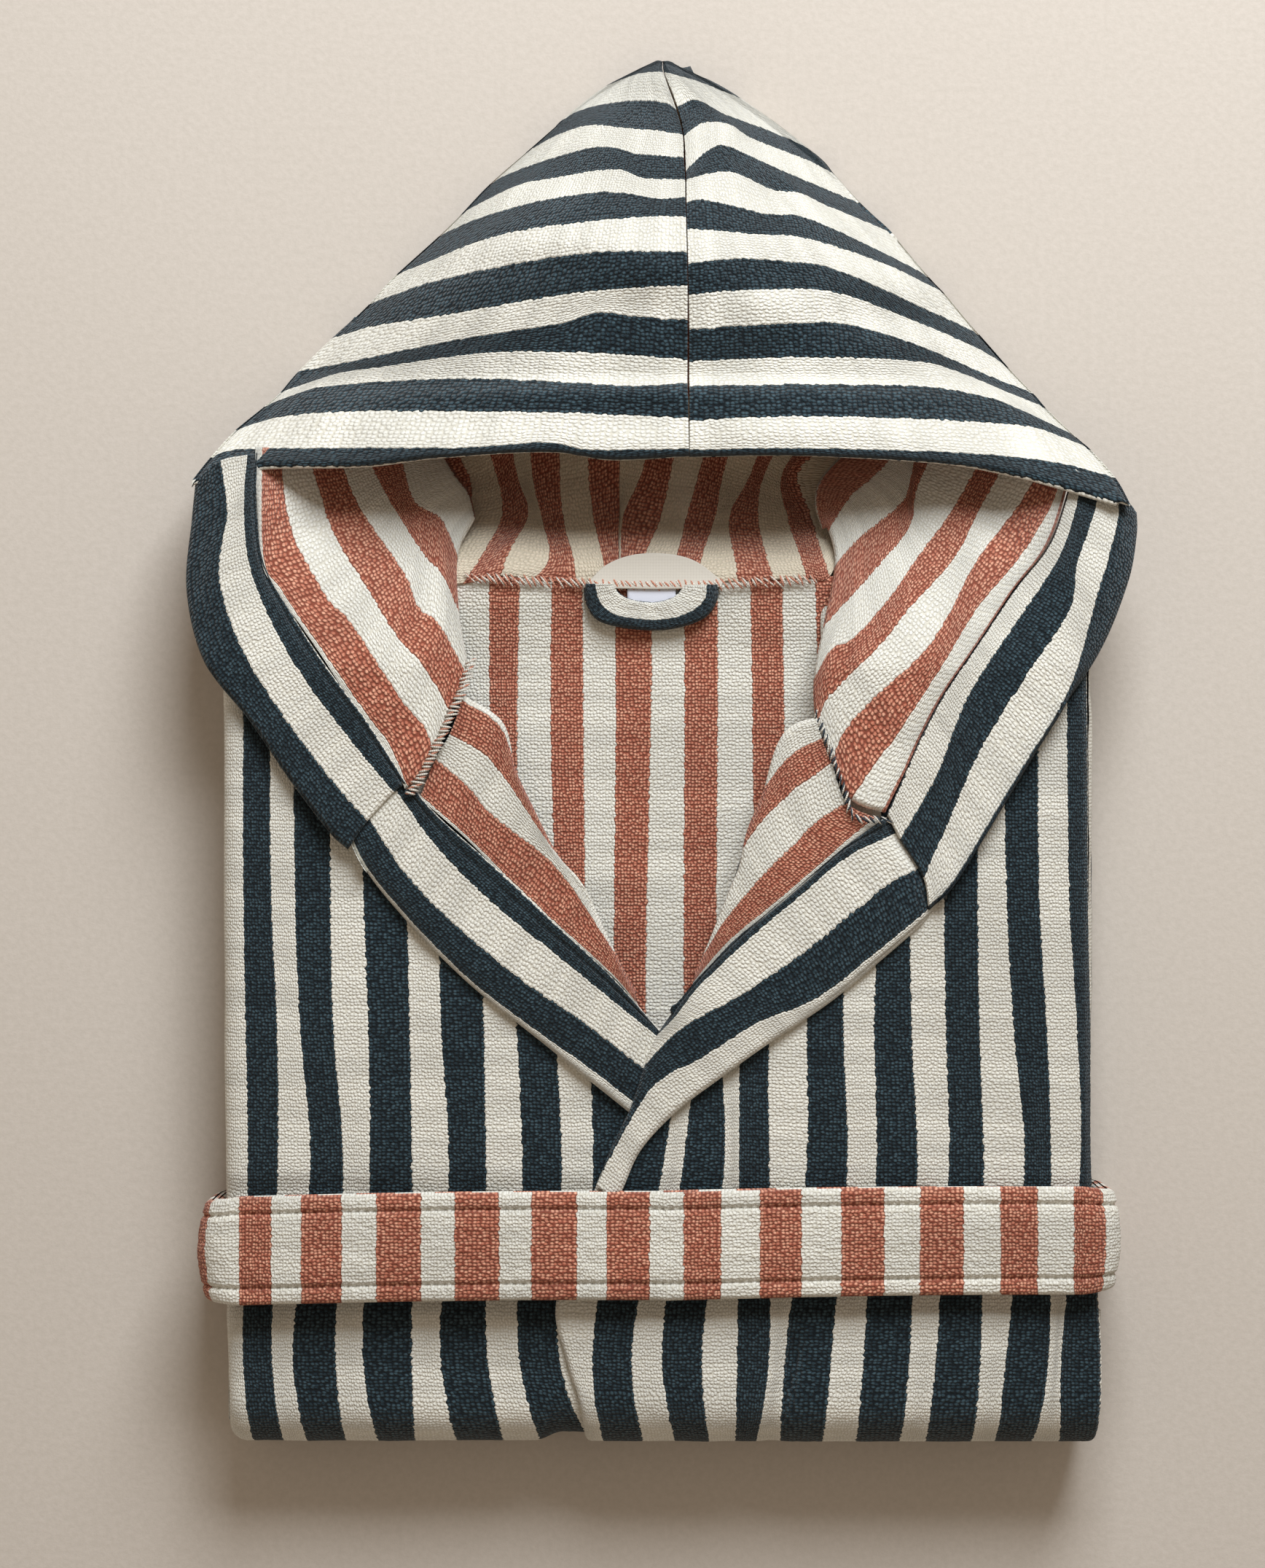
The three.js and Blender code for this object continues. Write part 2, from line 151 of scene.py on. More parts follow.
# ------------------------------------------------------------------ meshes
def grid_faces(rows, cols, base, flip):
    i, j = np.meshgrid(np.arange(rows - 1), np.arange(cols - 1), indexing="ij")
    a = base + i * cols + j
    quads = np.stack([a, a + 1, a + cols + 1, a + cols], -1).reshape(-1, 4)
    return quads[:, ::-1] if flip else quads


def make_object(name, blocks, materials, weld=False):
    """One object from blocks of (points, fabric coordinates, flip, material number)."""
    verts, fabric, faces, slots = [], [], [], []
    base = 0
    for points, coords, flip, material in blocks:
        rows, cols, _ = points.shape
        verts.append(points.reshape(-1, 3))
        fabric.append(coords.reshape(-1, 3))
        quads = grid_faces(rows, cols, base, flip)
        faces.append(quads)
        slots.append(np.zeros(len(quads), int) + material)
        base += rows * cols
    verts = np.vstack(verts) * MM
    fabric = np.vstack(fabric)
    faces = np.vstack(faces).astype(np.int32)
    if weld:
        _, first, where = np.unique(np.round(verts, 8), axis=0, return_index=True, return_inverse=True)
        verts = verts[first]
        fabric = fabric[first]
        faces = where.ravel()[faces].astype(np.int32)
    slots = np.concatenate(slots).astype(np.int32)
    mesh = bpy.data.meshes.new(name)
    mesh.vertices.add(len(verts))
    mesh.vertices.foreach_set("co", verts.astype(np.float32).ravel())
    mesh.loops.add(len(faces) * 4)
    mesh.loops.foreach_set("vertex_index", faces.ravel())
    mesh.polygons.add(len(faces))
    mesh.polygons.foreach_set("loop_start", np.arange(len(faces), dtype=np.int32) * 4)
    mesh.polygons.foreach_set("material_index", slots)
    mesh.update(calc_edges=True)
    mesh.validate()
    mesh.shade_smooth()
    layer = mesh.attributes.new("fab", "FLOAT_VECTOR", "POINT")
    layer.data.foreach_set("vector", fabric.astype(np.float32).ravel())
    for material in materials:
        mesh.materials.append(material)
    obj = bpy.data.objects.new(name, mesh)
    bpy.context.scene.collection.objects.link(obj)
    return obj


def surface_normals(p):
    du = np.gradient(p, axis=1)
    dt = np.gradient(p, axis=0)
    n = np.cross(du, dt)
    size = np.linalg.norm(n, axis=2, keepdims=True)
    return n / np.maximum(size, 1e-9)


def running_length(p, axis):
    seg = np.linalg.norm(np.diff(p, axis=axis), axis=2)
    zero = np.zeros((1, p.shape[1])) if axis == 0 else np.zeros((p.shape[0], 1))
    return np.concatenate([zero, np.cumsum(seg, axis=axis)], axis=axis)


def edge_drop(distance, radius):
    inside = np.clip(radius - distance, 0, radius)
    return radius - np.sqrt(np.maximum(radius * radius - inside * inside, 0))


def cloth(name, rails, heights, materials, u_first=0.0, u_range=None, t_range=(0, 1), thick=4.0,
          edges=(0, 0, 0, 0), spacing=0.85, warp=None, relief=0.07, seed=1,
          facing=(0, 0, 1), colour_shift=0.0, closed=True):
    """A sheet of cloth lofted through rails.

    edges are the rounding radii at the first rail, the last rail, the start and the end of the
    rails. heights(x, y, u, t) gives the upper face; warp(points) reshapes it afterwards.
    u_range is a pair of functions or numbers in stripe coordinates, cut from the lofted rails.
    """
    dense = np.array([smooth(r, CURVE_POINTS) for r in rails])
    last = len(rails) - 1
    lo, hi = u_range if u_range else (u_first, u_first + last)
    probe = dense[:, ::20]
    width = np.linalg.norm(np.diff(probe, axis=0), axis=2).sum(0).mean()
    length = np.mean([np.linalg.norm(np.diff(r, axis=0), axis=1).sum() for r in dense])
    length *= t_range[1] - t_range[0]
    a = samples_with_fine_ends(width, spacing, edges[0] > 0, edges[1] > 0)
    b = samples_with_fine_ends(length, spacing, edges[2] > 0, edges[3] > 0)
    t = np.broadcast_to(t_range[0] + (t_range[1] - t_range[0]) * b[:, None], (len(b), len(a)))
    u0 = lo(t[:, :1]) if callable(lo) else np.full((len(b), 1), float(lo))
    u1 = hi(t[:, :1]) if callable(hi) else np.full((len(b), 1), float(hi))
    u = u0 + (u1 - u0) * a[None, :]
    p = across_rails(dense, u - u_first, t)
    if p.shape[2] == 2:
        z = heights(p[..., 0], p[..., 1], u, t)
        p = np.concatenate([p, z[..., None]], 2)
    if warp:
        p = warp(p)
    n = surface_normals(p)
    flip = (n @ np.array(facing, float)).sum() < 0
    if flip:
        n = -n
    along_u = running_length(p, 1)
    along_t = running_length(p, 0)
    reach = [along_u, along_u[:, -1:] - along_u, along_t, along_t[-1:] - along_t]
    drop = np.zeros(p.shape[:2])
    for distance, radius in zip(reach, edges):
        if radius > 0:
            drop = np.maximum(drop, edge_drop(distance, radius))
    v = t * length / max(t_range[1] - t_range[0], 0.01)
    cells = lattice_noise(u * LOOPS_PER_STRIPE, v / LOOP_PITCH, seed)
    lumps = lattice_noise(u * 1.3 + 9, v / 9.0, seed + 50)
    fade = np.clip(1 - drop / 3.0, 0.35, 1)
    bumps = (cells + lumps * 2.4) * relief * fade
    top = p + n * (bumps - drop)[..., None]
    fab = np.stack([u + colour_shift, v, np.zeros_like(u)], 2)
    skip = 1 if closed else 3
    rows = np.unique(np.r_[0:len(b):skip, len(b) - 1])
    cols = np.unique(np.r_[0:len(a):skip, len(a) - 1])
    pick = np.ix_(rows, cols)
    full = thick(t) if callable(thick) else thick
    down = n if warp else np.array([0.0, 0.0, 1.0])
    below = p - down * np.maximum(full - drop, drop)[..., None]
    rolled = drop[pick] > 0.05
    lining = np.where(rolled[:-1, :-1] | rolled[1:, 1:] | rolled[:-1, 1:] | rolled[1:, :-1], 0, 1)
    blocks = [(top, fab, flip, 0), (below[pick], fab[pick], not flip, lining.ravel())]
    if closed:
        sides = ((np.s_[0], flip), (np.s_[-1], not flip), (np.s_[:, 0], not flip), (np.s_[:, -1], flip))
        for side, turned in sides:
            rim = np.stack([below[side], top[side]])
            blocks.append((rim, np.stack([fab[side], fab[side]]), turned, 0))
    return make_object(name, blocks, materials, weld=closed)


def tube(name, paths, radius, material, sides=6):
    """One object made of round threads, each following its own points."""
    blocks = []
    angle = np.linspace(0, 2 * math.pi, sides + 1)
    for path in paths:
        p = np.array(path, float)
        tangent = np.gradient(p, axis=0)
        tangent /= np.linalg.norm(tangent, axis=1, keepdims=True)
        side = np.cross(tangent, [0.0, 0.0, 1.0])
        side /= np.maximum(np.linalg.norm(side, axis=1, keepdims=True), 1e-9)
        up = np.cross(side, tangent)
        fat = radius * np.sqrt(np.clip(1 - np.linspace(-1, 1, len(p)) ** 6, 0.02, 1))
        ring = (side[:, None] * np.cos(angle)[None, :, None] + up[:, None] * np.sin(angle)[None, :, None])
        points = p[:, None] + ring * fat[:, None, None]
        coords = np.zeros_like(points)
        coords[..., 1] = np.linspace(0, 3, len(p))[:, None]
        blocks.append((points, coords, False, 0))
    return make_object(name, blocks, [material])


# ------------------------------------------------------------------ materials
class Nodes:
    """A short way to write a node tree."""

    def __init__(self, name):
        self.material = bpy.data.materials.new(name)
        self.material.use_nodes = True
        self.tree = self.material.node_tree
        self.bsdf = self.tree.nodes["Principled BSDF"]

    def add(self, kind, inputs=(), **values):
        node = self.tree.nodes.new("ShaderNode" + kind)
        for key, value in values.items():
            setattr(node, key, value)
        for socket, value in dict(inputs).items():
            if isinstance(value, bpy.types.NodeSocket):
                self.tree.links.new(value, node.inputs[socket])
            else:
                node.inputs[socket].default_value = value
        return node

    def math(self, operation, a, b=0.0, c=0.0):
        node = self.tree.nodes.new("ShaderNodeMath")
        node.operation = operation
        for socket, value in zip(node.inputs, (a, b, c)):
            if isinstance(value, bpy.types.NodeSocket):
                self.tree.links.new(value, socket)
            else:
                socket.default_value = value
        return node.outputs[0]

    def mix(self, factor, a, b, blend="MIX"):
        node = self.tree.nodes.new("ShaderNodeMix")
        node.data_type = "RGBA"
        node.blend_type = blend
        for socket, value in ((node.inputs[0], factor), (node.inputs[6], a), (node.inputs[7], b)):
            if isinstance(value, bpy.types.NodeSocket):
                self.tree.links.new(value, socket)
            else:
                socket.default_value = value
        return node.outputs[2]

    def spread(self, value, low_edge, high_edge, low_out=0.0, high_out=1.0):
        node = self.add("MapRange", {0: value, 1: low_edge, 2: high_edge, 3: low_out, 4: high_out})
        node.interpolation_type = "SMOOTHSTEP"
        return node.outputs[0]

    def bump(self, height, distance, strength=1.0, normal=None):
        node = self.add("Bump", {"Height": height, "Distance": distance, "Strength": strength})
        if normal:
            self.tree.links.new(normal, node.inputs["Normal"])
        return node.outputs[0]

    def finish(self, colour, normal=None, **sockets):
        self.tree.links.new(colour, self.bsdf.inputs["Base Color"])
        if normal:
            self.tree.links.new(normal, self.bsdf.inputs["Normal"])
        for key, value in sockets.items():
            self.bsdf.inputs[key.replace("_", " ")].default_value = value
        return self.material


CREAM = (0.86, 0.85, 0.785, 1)
# Darker cream: darkens some cream loops at random, and is painted shade in the gaps between loops.
CREAM_TONE_AND_GAP_SHADE = (0.50, 0.46, 0.345, 1)
NAVY = (0.009, 0.022, 0.031, 1)
# Lighter navy for loop tops: painted highlight.
NAVY_LOOP_HIGHLIGHT = (0.058, 0.105, 0.132, 1)
# Darkest navy: painted shade in the gaps between loops.
NAVY_GAP_SHADE = (0.002, 0.004, 0.006, 1)
CORAL = (0.55, 0.180, 0.110, 1)
# Lighter coral for loop tops: painted highlight.
CORAL_LOOP_HIGHLIGHT = (0.90, 0.47, 0.32, 1)
# Darkest coral: painted shade in the gaps between loops.
CORAL_GAP_SHADE = (0.19, 0.040, 0.022, 1)


def terry(name, dark, loop_highlight, deep, gap_shade_strength, cream=CREAM):
    """Looped towelling in two stripe colours: odd stripes are dark, even ones cream."""
    n = Nodes(name)
    fab = n.add("Attribute", attribute_name="fab").outputs["Vector"]
    parts = n.add("SeparateXYZ", {0: fab}).outputs
    wander = n.add("TexNoise", {"Vector": fab, "Scale": 0.5, "Detail": 2.0}).outputs["Fac"]
    wander = n.math("MULTIPLY", n.math("SUBTRACT", wander, 0.5), 0.9)
    column = n.math("ADD", n.math("MULTIPLY", parts[0], LOOPS_PER_STRIPE), wander)
    row = n.math("DIVIDE", parts[1], LOOP_PITCH)
    place = n.add("CombineXYZ", {0: column, 1: row, 2: 0.0}).outputs[0]
    loops = {"Vector": place, "Scale": 1.0, "Randomness": 0.5}
    cell = n.add("TexVoronoi", loops, voronoi_dimensions="2D")
    shade = n.add("SeparateColor", {0: cell.outputs["Color"]}).outputs
    centre = n.add("SeparateXYZ", {0: cell.outputs["Position"]}).outputs
    stripe = n.math("FLOOR", n.math("DIVIDE", centre[0], LOOPS_PER_STRIPE))
    odd = n.math("FLOORED_MODULO", stripe, 2.0)
    reach = cell.outputs["Distance"]
    gap = n.spread(reach, 0.16, 0.62)
    fibres = {"Vector": place, "Scale": 3.3, "Detail": 3.0, "Roughness": 0.7}
    fuzz = n.add("TexNoise", fibres).outputs["Fac"]
    lift = n.math("ADD", n.math("MULTIPLY", shade[0], 0.42), n.math("MULTIPLY", fuzz, 1.0))
    bright = n.spread(lift, 0.4, 1.05)
    # Dark stripes: loop tops take the lighter colour, brightest at each loop's centre: painted highlight,
    # varied at random per loop.
    dyed_with_painted_light = n.mix(n.math("MULTIPLY", bright, n.math("SUBTRACT", 1.1, gap)), dark, loop_highlight)
    # Painted shade in the gaps between loops of the dark stripes.
    dyed_with_painted_light = n.mix(n.math("MULTIPLY", gap, gap_shade_strength), dyed_with_painted_light, deep)
    milk = n.mix(n.math("MULTIPLY", n.math("SUBTRACT", 1.0, bright), 0.16), cream, CREAM_TONE_AND_GAP_SHADE)
    # Painted shade in the gaps between loops of the cream stripes.
    milk = n.mix(n.math("MULTIPLY", gap, 0.42), milk, CREAM_TONE_AND_GAP_SHADE)
    colour = n.mix(odd, milk, dyed_with_painted_light)
    worn = n.add("TexNoise", {"Vector": fab, "Scale": 0.11, "Detail": 3.0}).outputs["Fac"]
    worn = n.mix(n.spread(worn, 0.35, 0.65), (0.88, 0.88, 0.88, 1), (1.05, 1.05, 1.05, 1))
    colour = n.mix(1.0, colour, worn, "MULTIPLY")
    height = n.math("SUBTRACT", 1.0, n.math("MULTIPLY", gap, 0.75))
    height = n.math("ADD", height, n.math("MULTIPLY", shade[1], 0.15))
    height = n.math("ADD", height, n.math("MULTIPLY", fuzz, 0.5))
    pile = n.math("ADD", n.math("MULTIPLY", odd, 0.35), 0.65)
    normal = n.bump(n.math("MULTIPLY", height, pile), 0.0009, 0.85)
    return n.finish(colour, normal, Roughness=0.95, Sheen_Weight=0.2, Sheen_Roughness=0.5,
                    Specular_IOR_Level=0.12)


def plain_cloth(name, base, deep, scale, roughness=0.8):
    n = Nodes(name)
    where = n.add("TexCoord").outputs["Object"]
    wave = {"Vector": where, "Scale": scale, "Distortion": 0.6}
    weave = n.add("TexWave", wave, bands_direction="X").outputs["Fac"]
    weft = n.add("TexWave", wave, bands_direction="Y").outputs["Fac"]
    both = n.math("MULTIPLY", n.math("ADD", weave, weft), 0.5)
    colour = n.mix(n.spread(both, 0.2, 0.8), deep, base)
    return n.finish(colour, n.bump(both, 0.0002, 0.5), Roughness=roughness, Specular_IOR_Level=0.2)


def thread(name, base):
    n = Nodes(name)
    fab = n.add("Attribute", attribute_name="fab").outputs["Vector"]
    twist = {"Vector": fab, "Scale": 1.6, "Distortion": 0.5}
    ply = n.add("TexWave", twist, bands_direction="DIAGONAL").outputs["Fac"]
    colour = n.mix(ply, tuple(c * 0.65 for c in base[:3]) + (1,), base)
    return n.finish(colour, n.bump(ply, 0.0002, 0.6), Roughness=0.7)


outer = terry("outer_terry_navy", NAVY, NAVY_LOOP_HIGHLIGHT, NAVY_GAP_SHADE, 0.75)
inner = terry("inner_terry_coral", CORAL, CORAL_LOOP_HIGHLIGHT, CORAL_GAP_SHADE, 0.8)
# The hood lining's cream is darker and warmer than the robe's cream: painted shade with a warm cast, for
# the hollow inside the hood.
lining = terry("hood_lining_coral_painted_shade", CORAL, CORAL_LOOP_HIGHLIGHT, CORAL_GAP_SHADE, 0.8, cream=(0.80, 0.70, 0.55, 1))
OUTSIDE = [outer, inner]
INSIDE = [inner, outer]
LINING_PAINTED_SHADE = [lining, outer]


def on_the_pack(piece, node):
    """Parents a piece to the pack's empty, so it moves with the pack, and hides the node whose place it
    takes.
    """
    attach(piece, "pack")
    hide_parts(node)


# ------------------------------------------------------------------ heights of the stack
LEFT_TOP = 42.0
RIGHT_TOP = 46.0
UNDER = 6.0
PACK_END = -249.6


def wrapped_end(top, shift=None):
    """Rolls the cloth over the pack's lower fold and back under it."""
    def warp(p):
        x, y, z = p[..., 0], p[..., 1], p[..., 2]
        radius = (top - UNDER) / 2
        start = PACK_END + radius + (shift(x) if shift else 0)
        past = np.maximum(start - y, 0)
        turn = np.minimum(past / radius, math.pi)
        flat = past - turn * radius
        belly = np.sin(turn) ** 0.85
        y2 = np.where(past > 0, start - radius * belly + flat, y)
        z2 = np.where(past > 0, z - radius * (1 - np.cos(turn)), z)
        return np.stack([x, y2, z2], 2)
    return warp


def under_belt(y):
    """1 under the belt's run, 0 well clear of it."""
    return step(-204, -196, y) * (1 - step(-160, -152, y))


def panel_height(base, seed):
    def heights(x, y, u, t):
        wave = lattice_noise(x / 34 + 3, y / 60, seed) * 0.9
        wave = wave + lattice_noise(x / 15, y / 38, seed + 1) * 0.45
        loose = 1 - under_belt(y)
        sunk = 11 * step(22, 58, y) * (1 - step(125, 146, np.abs(x)))
        return base + wave * loose - 1.4 * under_belt(y) - sunk
    return heights


# Each row of LEFT_BORDERS and RIGHT_BORDERS is one stripe border: its x at the y values in the ROWS line.
# The inner columns were converted from readings that a program printed.
# The first and last columns are guesses.
LEFT_ROWS = (60, -45, -98, -149, -214, -256, -318)
LEFT_BORDERS = (
    (-157.6, -157.6, -157.2, -156.8, -156.2, -156.0, -156),
    (-149.8, -149.8, -149.0, -148.2, -150.0, -147.0, -148),
    (-140.1, -140.0, -137.8, -137.4, -139.6, -136.2, -138),
    (-132.3, -131.4, -129.6, -125.8, -132.0, -127.6, -130),
    (-119.0, -118.6, -117.6, -114.1, -116.8, -113.8, -117),
    (-106.8, -106.9, -105.0, -104.5, -107.0, -101.9, -104),
    (-91.8, -91.3, -90.2, -89.4, -89.4, -88.7, -91),
    (-80.0, -80.0, -79.0, -76.2, -79.3, -73.8, -78),
    (-65.0, -65.0, -63.8, -62.9, -62.7, -57.0, -62),
    (-54.0, -53.0, -52.0, -49.9, -51.5, -43.8, -50),
    (-40.0, -39.0, -38.0, -35.9, -37.2, -27.2, -34),
    (-28.0, -27.0, -26.0, -24.7, -26.0, -18.0, -22),
    (-14.0, -13.0, -12.0, -11.0, -12.0, -6.0, -8),
    (-2.0, -1.0, 0.0, 1.0, 0.0, 6.0, 5),
    (10.0, 11.0, 12.0, 13.0, 12.0, 18.0, 17),
)


LEFT_OPENING = [(-74, 90), (-74.5, 40), (-74, 19), (-63, 8), (-59.5, 1), (-55, -8), (-45, -26),
                (-38.6, -38), (-31, -51), (-18, -75.5), (-10, -90), (-2, -103), (12, -120), (16, -145),
                (16, -214), (16, -350)]


def front_panel_left():
    rails = [list(zip(row, LEFT_ROWS)) for row in LEFT_BORDERS]
    tuck = lambda x: 3.2 * step(-46, -36, x)
    inner_edge = until_curve(rails, LEFT_OPENING)
    piece = cloth("front_panel_left_cloth", rails, panel_height(LEFT_TOP, 11), OUTSIDE, thick=13,
                  u_range=(0, inner_edge), edges=(6.5, 2.5, 0, 0), warp=wrapped_end(LEFT_TOP, tuck),
                  seed=3, closed=False)
    on_the_pack(piece, "front_panel_left")


RIGHT_ROWS = (60, -45, -98, -149, -214, -256, -318)
RIGHT_BORDERS = (
    (16.0, 10.0, 2.5, -14.3, -24.7, -21.3, -24),
    (24.0, 17.0, 8.0, 0.3, -10.7, -6.8, -9),
    (31.0, 24.0, 14.0, 7.3, 0.0, 4.7, 3),
    (39.0, 31.0, 21.7, 22.1, 14.3, 16.9, 16),
    (46.0, 38.0, 28.6, 27.3, 26.8, 26.3, 27),
    (54.0, 47.0, 38.6, 38.2, 38.2, 33.8, 37),
    (62.0, 54.0, 51.7, 51.5, 44.2, 42.6, 47),
    (68.0, 66.0, 64.5, 66.0, 60.6, 57.7, 60),
    (80.0, 77.5, 75.6, 76.4, 72.0, 69.7, 72),
    (90.0, 88.4, 88.9, 91.0, 88.4, 85.3, 86),
    (101.0, 100.4, 101.1, 102.2, 97.8, 94.6, 98),
    (112.0, 112.4, 113.1, 114.7, 113.6, 111.0, 112),
    (121.0, 122.5, 125.2, 129.2, 123.0, 119.6, 122),
    (134.0, 134.2, 137.0, 138.6, 138.0, 132.9, 135),
    (144.0, 144.8, 147.7, 149.0, 142.4, 142.7, 144),
    (151.0, 151.8, 152.6, 152.9, 156.4, 155.6, 155.4),
)
FRONT_EDGE = [(8, 60), (2, -45), (-1.5, -98), (-6.5, -113), (-11.4, -128), (-18.7, -142.6),
              (-24.2, -157.4), (-38.2, -196.7), (-33.8, -222), (-28.4, -247), (-27, -318)]
RIGHT_OPENING = [(56, 90), (56.5, 40), (56, 13), (48, 5), (42.5, -2), (38, -11), (33.5, -25),
                 (29.4, -34), (26.4, -43), (19.5, -64), (12.6, -82), (5, -94), (-1.2, -101),
                 (-6.5, -113), (-11.4, -128), (-18.7, -142.6), (-24.2, -157.4), (-38.2, -196.7),
                 (-33.8, -222), (-28.4, -247), (-27, -350)]


def crease(x, y):
    """The pinch near the lower fold, right of the middle."""
    centre = 39 + 8 * step(-252, -205, y)
    return 3.4 * np.exp(-((x - centre) / 4.0) ** 2) * (1 - step(-222, -196, y))


def front_panel_right():
    rails = [smooth(FRONT_EDGE, 24)]
    rails += [list(zip(row, RIGHT_ROWS)) for row in RIGHT_BORDERS]
    base = panel_height(RIGHT_TOP, 21)
    heights = lambda x, y, u, t: base(x, y, u, t) - crease(x, y)
    piece = cloth("front_panel_right_cloth", rails, heights, OUTSIDE, thick=5,
                  u_range=(until_curve(rails, RIGHT_OPENING), 16), edges=(2.4, 2.5, 0, 0),
                  warp=wrapped_end(RIGHT_TOP), seed=5, closed=False)
    on_the_pack(piece, "front_panel_right")


def side_fold(name, node, x_face, top, outward, first_stripe, seed):
    """The robe's side between its front and its back: a low wall of cloth, rounded at the lower fold."""
    y = np.linspace(56, -248.6, 90)
    radius = (top - 2.5) / 2
    middle = 2.5 + radius
    start = -248.6 + radius
    past = np.clip((start - y) / radius, 0, 1)
    squeeze = np.sqrt(np.maximum(1 - past ** 2, 0.02))
    rails = []
    for k in range(5):
        share = 1 - k / 2.0
        belly = 2.6 * (1 - share ** 2)
        waves = 0.7 * lattice_noise(y / 40 + k, np.zeros_like(y), seed)
        x = x_face + outward * (belly - 2.6) + outward * waves
        rails.append(np.stack([x, y, middle + share * radius * squeeze], 1))
    rails = [rail[::3] for rail in rails]
    if outward > 0:
        rails = rails[::-1]
    piece = cloth(name, rails, None, OUTSIDE, u_first=0, thick=2.6, spacing=1.2, seed=seed,
                  warp=lambda p: p, facing=(outward, 0, 0), colour_shift=first_stripe, closed=False)
    on_the_pack(piece, node)


def slab(name, node, x_range, y_range, z_range, seed, spacing=1.6, raised=None):
    """A flattened roll of folded cloth with rounded sides, its stripes running along Y."""
    x0, x1 = x_range
    y0, y1 = y_range
    z0, z1 = z_range
    half = (z1 - z0) / 2
    ring = []
    turn = np.linspace(-math.pi / 2, math.pi / 2, 9)
    for a in turn:
        ring.append((x1 - half + half * math.cos(a), half * math.sin(a)))
    for a in turn:
        ring.append((x0 + half - half * math.cos(a), -half * math.sin(a)))
    ring.append(ring[0])
    ring = np.array(ring)
    reach = np.concatenate([[0], np.cumsum(np.linalg.norm(np.diff(ring, axis=0), axis=1))])
    around = np.linspace(0, reach[-1], int(reach[-1] / spacing) + 1)
    rx = np.interp(around, reach, ring[:, 0])
    rz = np.interp(around, reach, ring[:, 1])
    ends = np.linspace(0, math.pi / 2, 6)
    ys = np.concatenate([y0 + half * (1 - np.sin(ends[::-1])),
                         np.linspace(y0 + half, y1 - half, int((y1 - y0) / spacing / 1.5))[1:-1],
                         y1 - half * (1 - np.sin(ends))])
    squeeze = np.concatenate([np.cos(ends[::-1]), np.ones(len(ys) - 12), np.cos(ends)])
    x = np.broadcast_to(rx, (len(ys), len(rx)))
    y = np.broadcast_to(ys[:, None], x.shape)
    middle = (z0 + z1) / 2
    z = middle + rz[None, :] * squeeze[:, None]
    if raised:
        z = np.where(z < middle, z + raised(y) * (middle - z) / half, z)
    u = np.broadcast_to(around / 13.0, x.shape) + 0.4
    v = y - y0
    fab = np.stack([u, v, np.zeros_like(u)], 2)
    p = np.stack([x, y, z], 2)
    n = surface_normals(p)
    flip = n[:, : len(turn)][..., 0].sum() < 0
    if flip:
        n = -n
    bumps = lattice_noise(u * 8, v / 1.6, seed) * 0.2 + lattice_noise(u * 1.1, v / 30, seed) * 0.5
    p = p + n * bumps[..., None]
    piece = make_object(name, [(p, fab, flip, 0)], OUTSIDE)
    on_the_pack(piece, node)


def folded_layers():
    side_fold("side_fold_left_cloth", "side_fold_left", -156.6, 37.0, -1, 1.0, 39)
    side_fold("side_fold_right_cloth", "side_fold_right", 154.4, 41.5, 1, 1.0, 40)
    lift = lambda y: 6.6 * (1 - step(-160, -150, y))
    slab("skirt_middle_cloth", "skirt_middle_third", (-153.5, 151.5), (-238, 55), (0.0, 11.8), 31,
         raised=lift)
    slab("skirt_hem_cloth", "skirt_hem_third", (-152.5, 150), (-234, 51), (11.6, 20.6), 33)
    slab("sleeve_left_cloth", "sleeve_left", (-149, -5), (-207, 47), (20.4, 28.6), 35)
    slab("sleeve_right_cloth", "sleeve_right", (3, 148), (-207, 47), (20.4, 28.6), 37)


def back_height(x, y, u, t):
    rise = 3.4 * step(30, 62, y)
    return 33.6 + rise + 0.5 * lattice_noise(x / 26, y / 45, 41)


def back_panel():
    rows = (62, 14, -75, -150, -238)
    left = [(x,) * 5 for x in (-148, -136, -124, -112)]
    right = [(x,) * 5 for x in (80, 92, 104, 116, 128, 138, 148)]
    middle = [
        (-99, -99, -98, -98, -98),
        (-86, -86, -84, -84, -84),
        (-74, -74, -72, -72, -72),
        (-62.0, -61.9, -60.0, -60, -60),
        (-51.0, -52.0, -52.0, -52, -52),
        (-39.5, -40.0, -38.0, -38, -38),
        (-28.5, -28.3, -27.5, -27.5, -27.5),
        (-17.0, -16.6, -17.4, -17, -17),
        (-3.5, -3.9, -5.7, -5.7, -5),
        (8.0, 8.1, 7.8, 7.8, 8),
        (20.0, 20.0, 19.5, 19.5, 20),
        (31.5, 32.5, 33.0, 33, 33),
        (43.0, 43.9, 45.0, 45, 45),
        (55, 56, 57, 57, 57),
        (67, 68, 69, 69, 69),
    ]
    borders = left + middle + right
    rails = [list(zip(row, rows)) for row in borders]
    piece = cloth("back_panel_cloth", rails, back_height, INSIDE, u_first=0, thick=4,
                  edges=(2, 2, 2, 0), seed=7, closed=False)
    on_the_pack(piece, "back_panel")


# ------------------------------------------------------------------ lapels
def on_pack(base, roll, seed):
    """A lapel's height: lying on a panel, swelling towards the roll at its high-u side."""
    def heights(x, y, u, t):
        wave = lattice_noise(x / 22, y / 26, seed) * 0.7
        return base + wave + roll(u, t)
    return heights


def thin_tip(t):
    return 4.6 - 3.2 * step(0.6, 0.9, t)


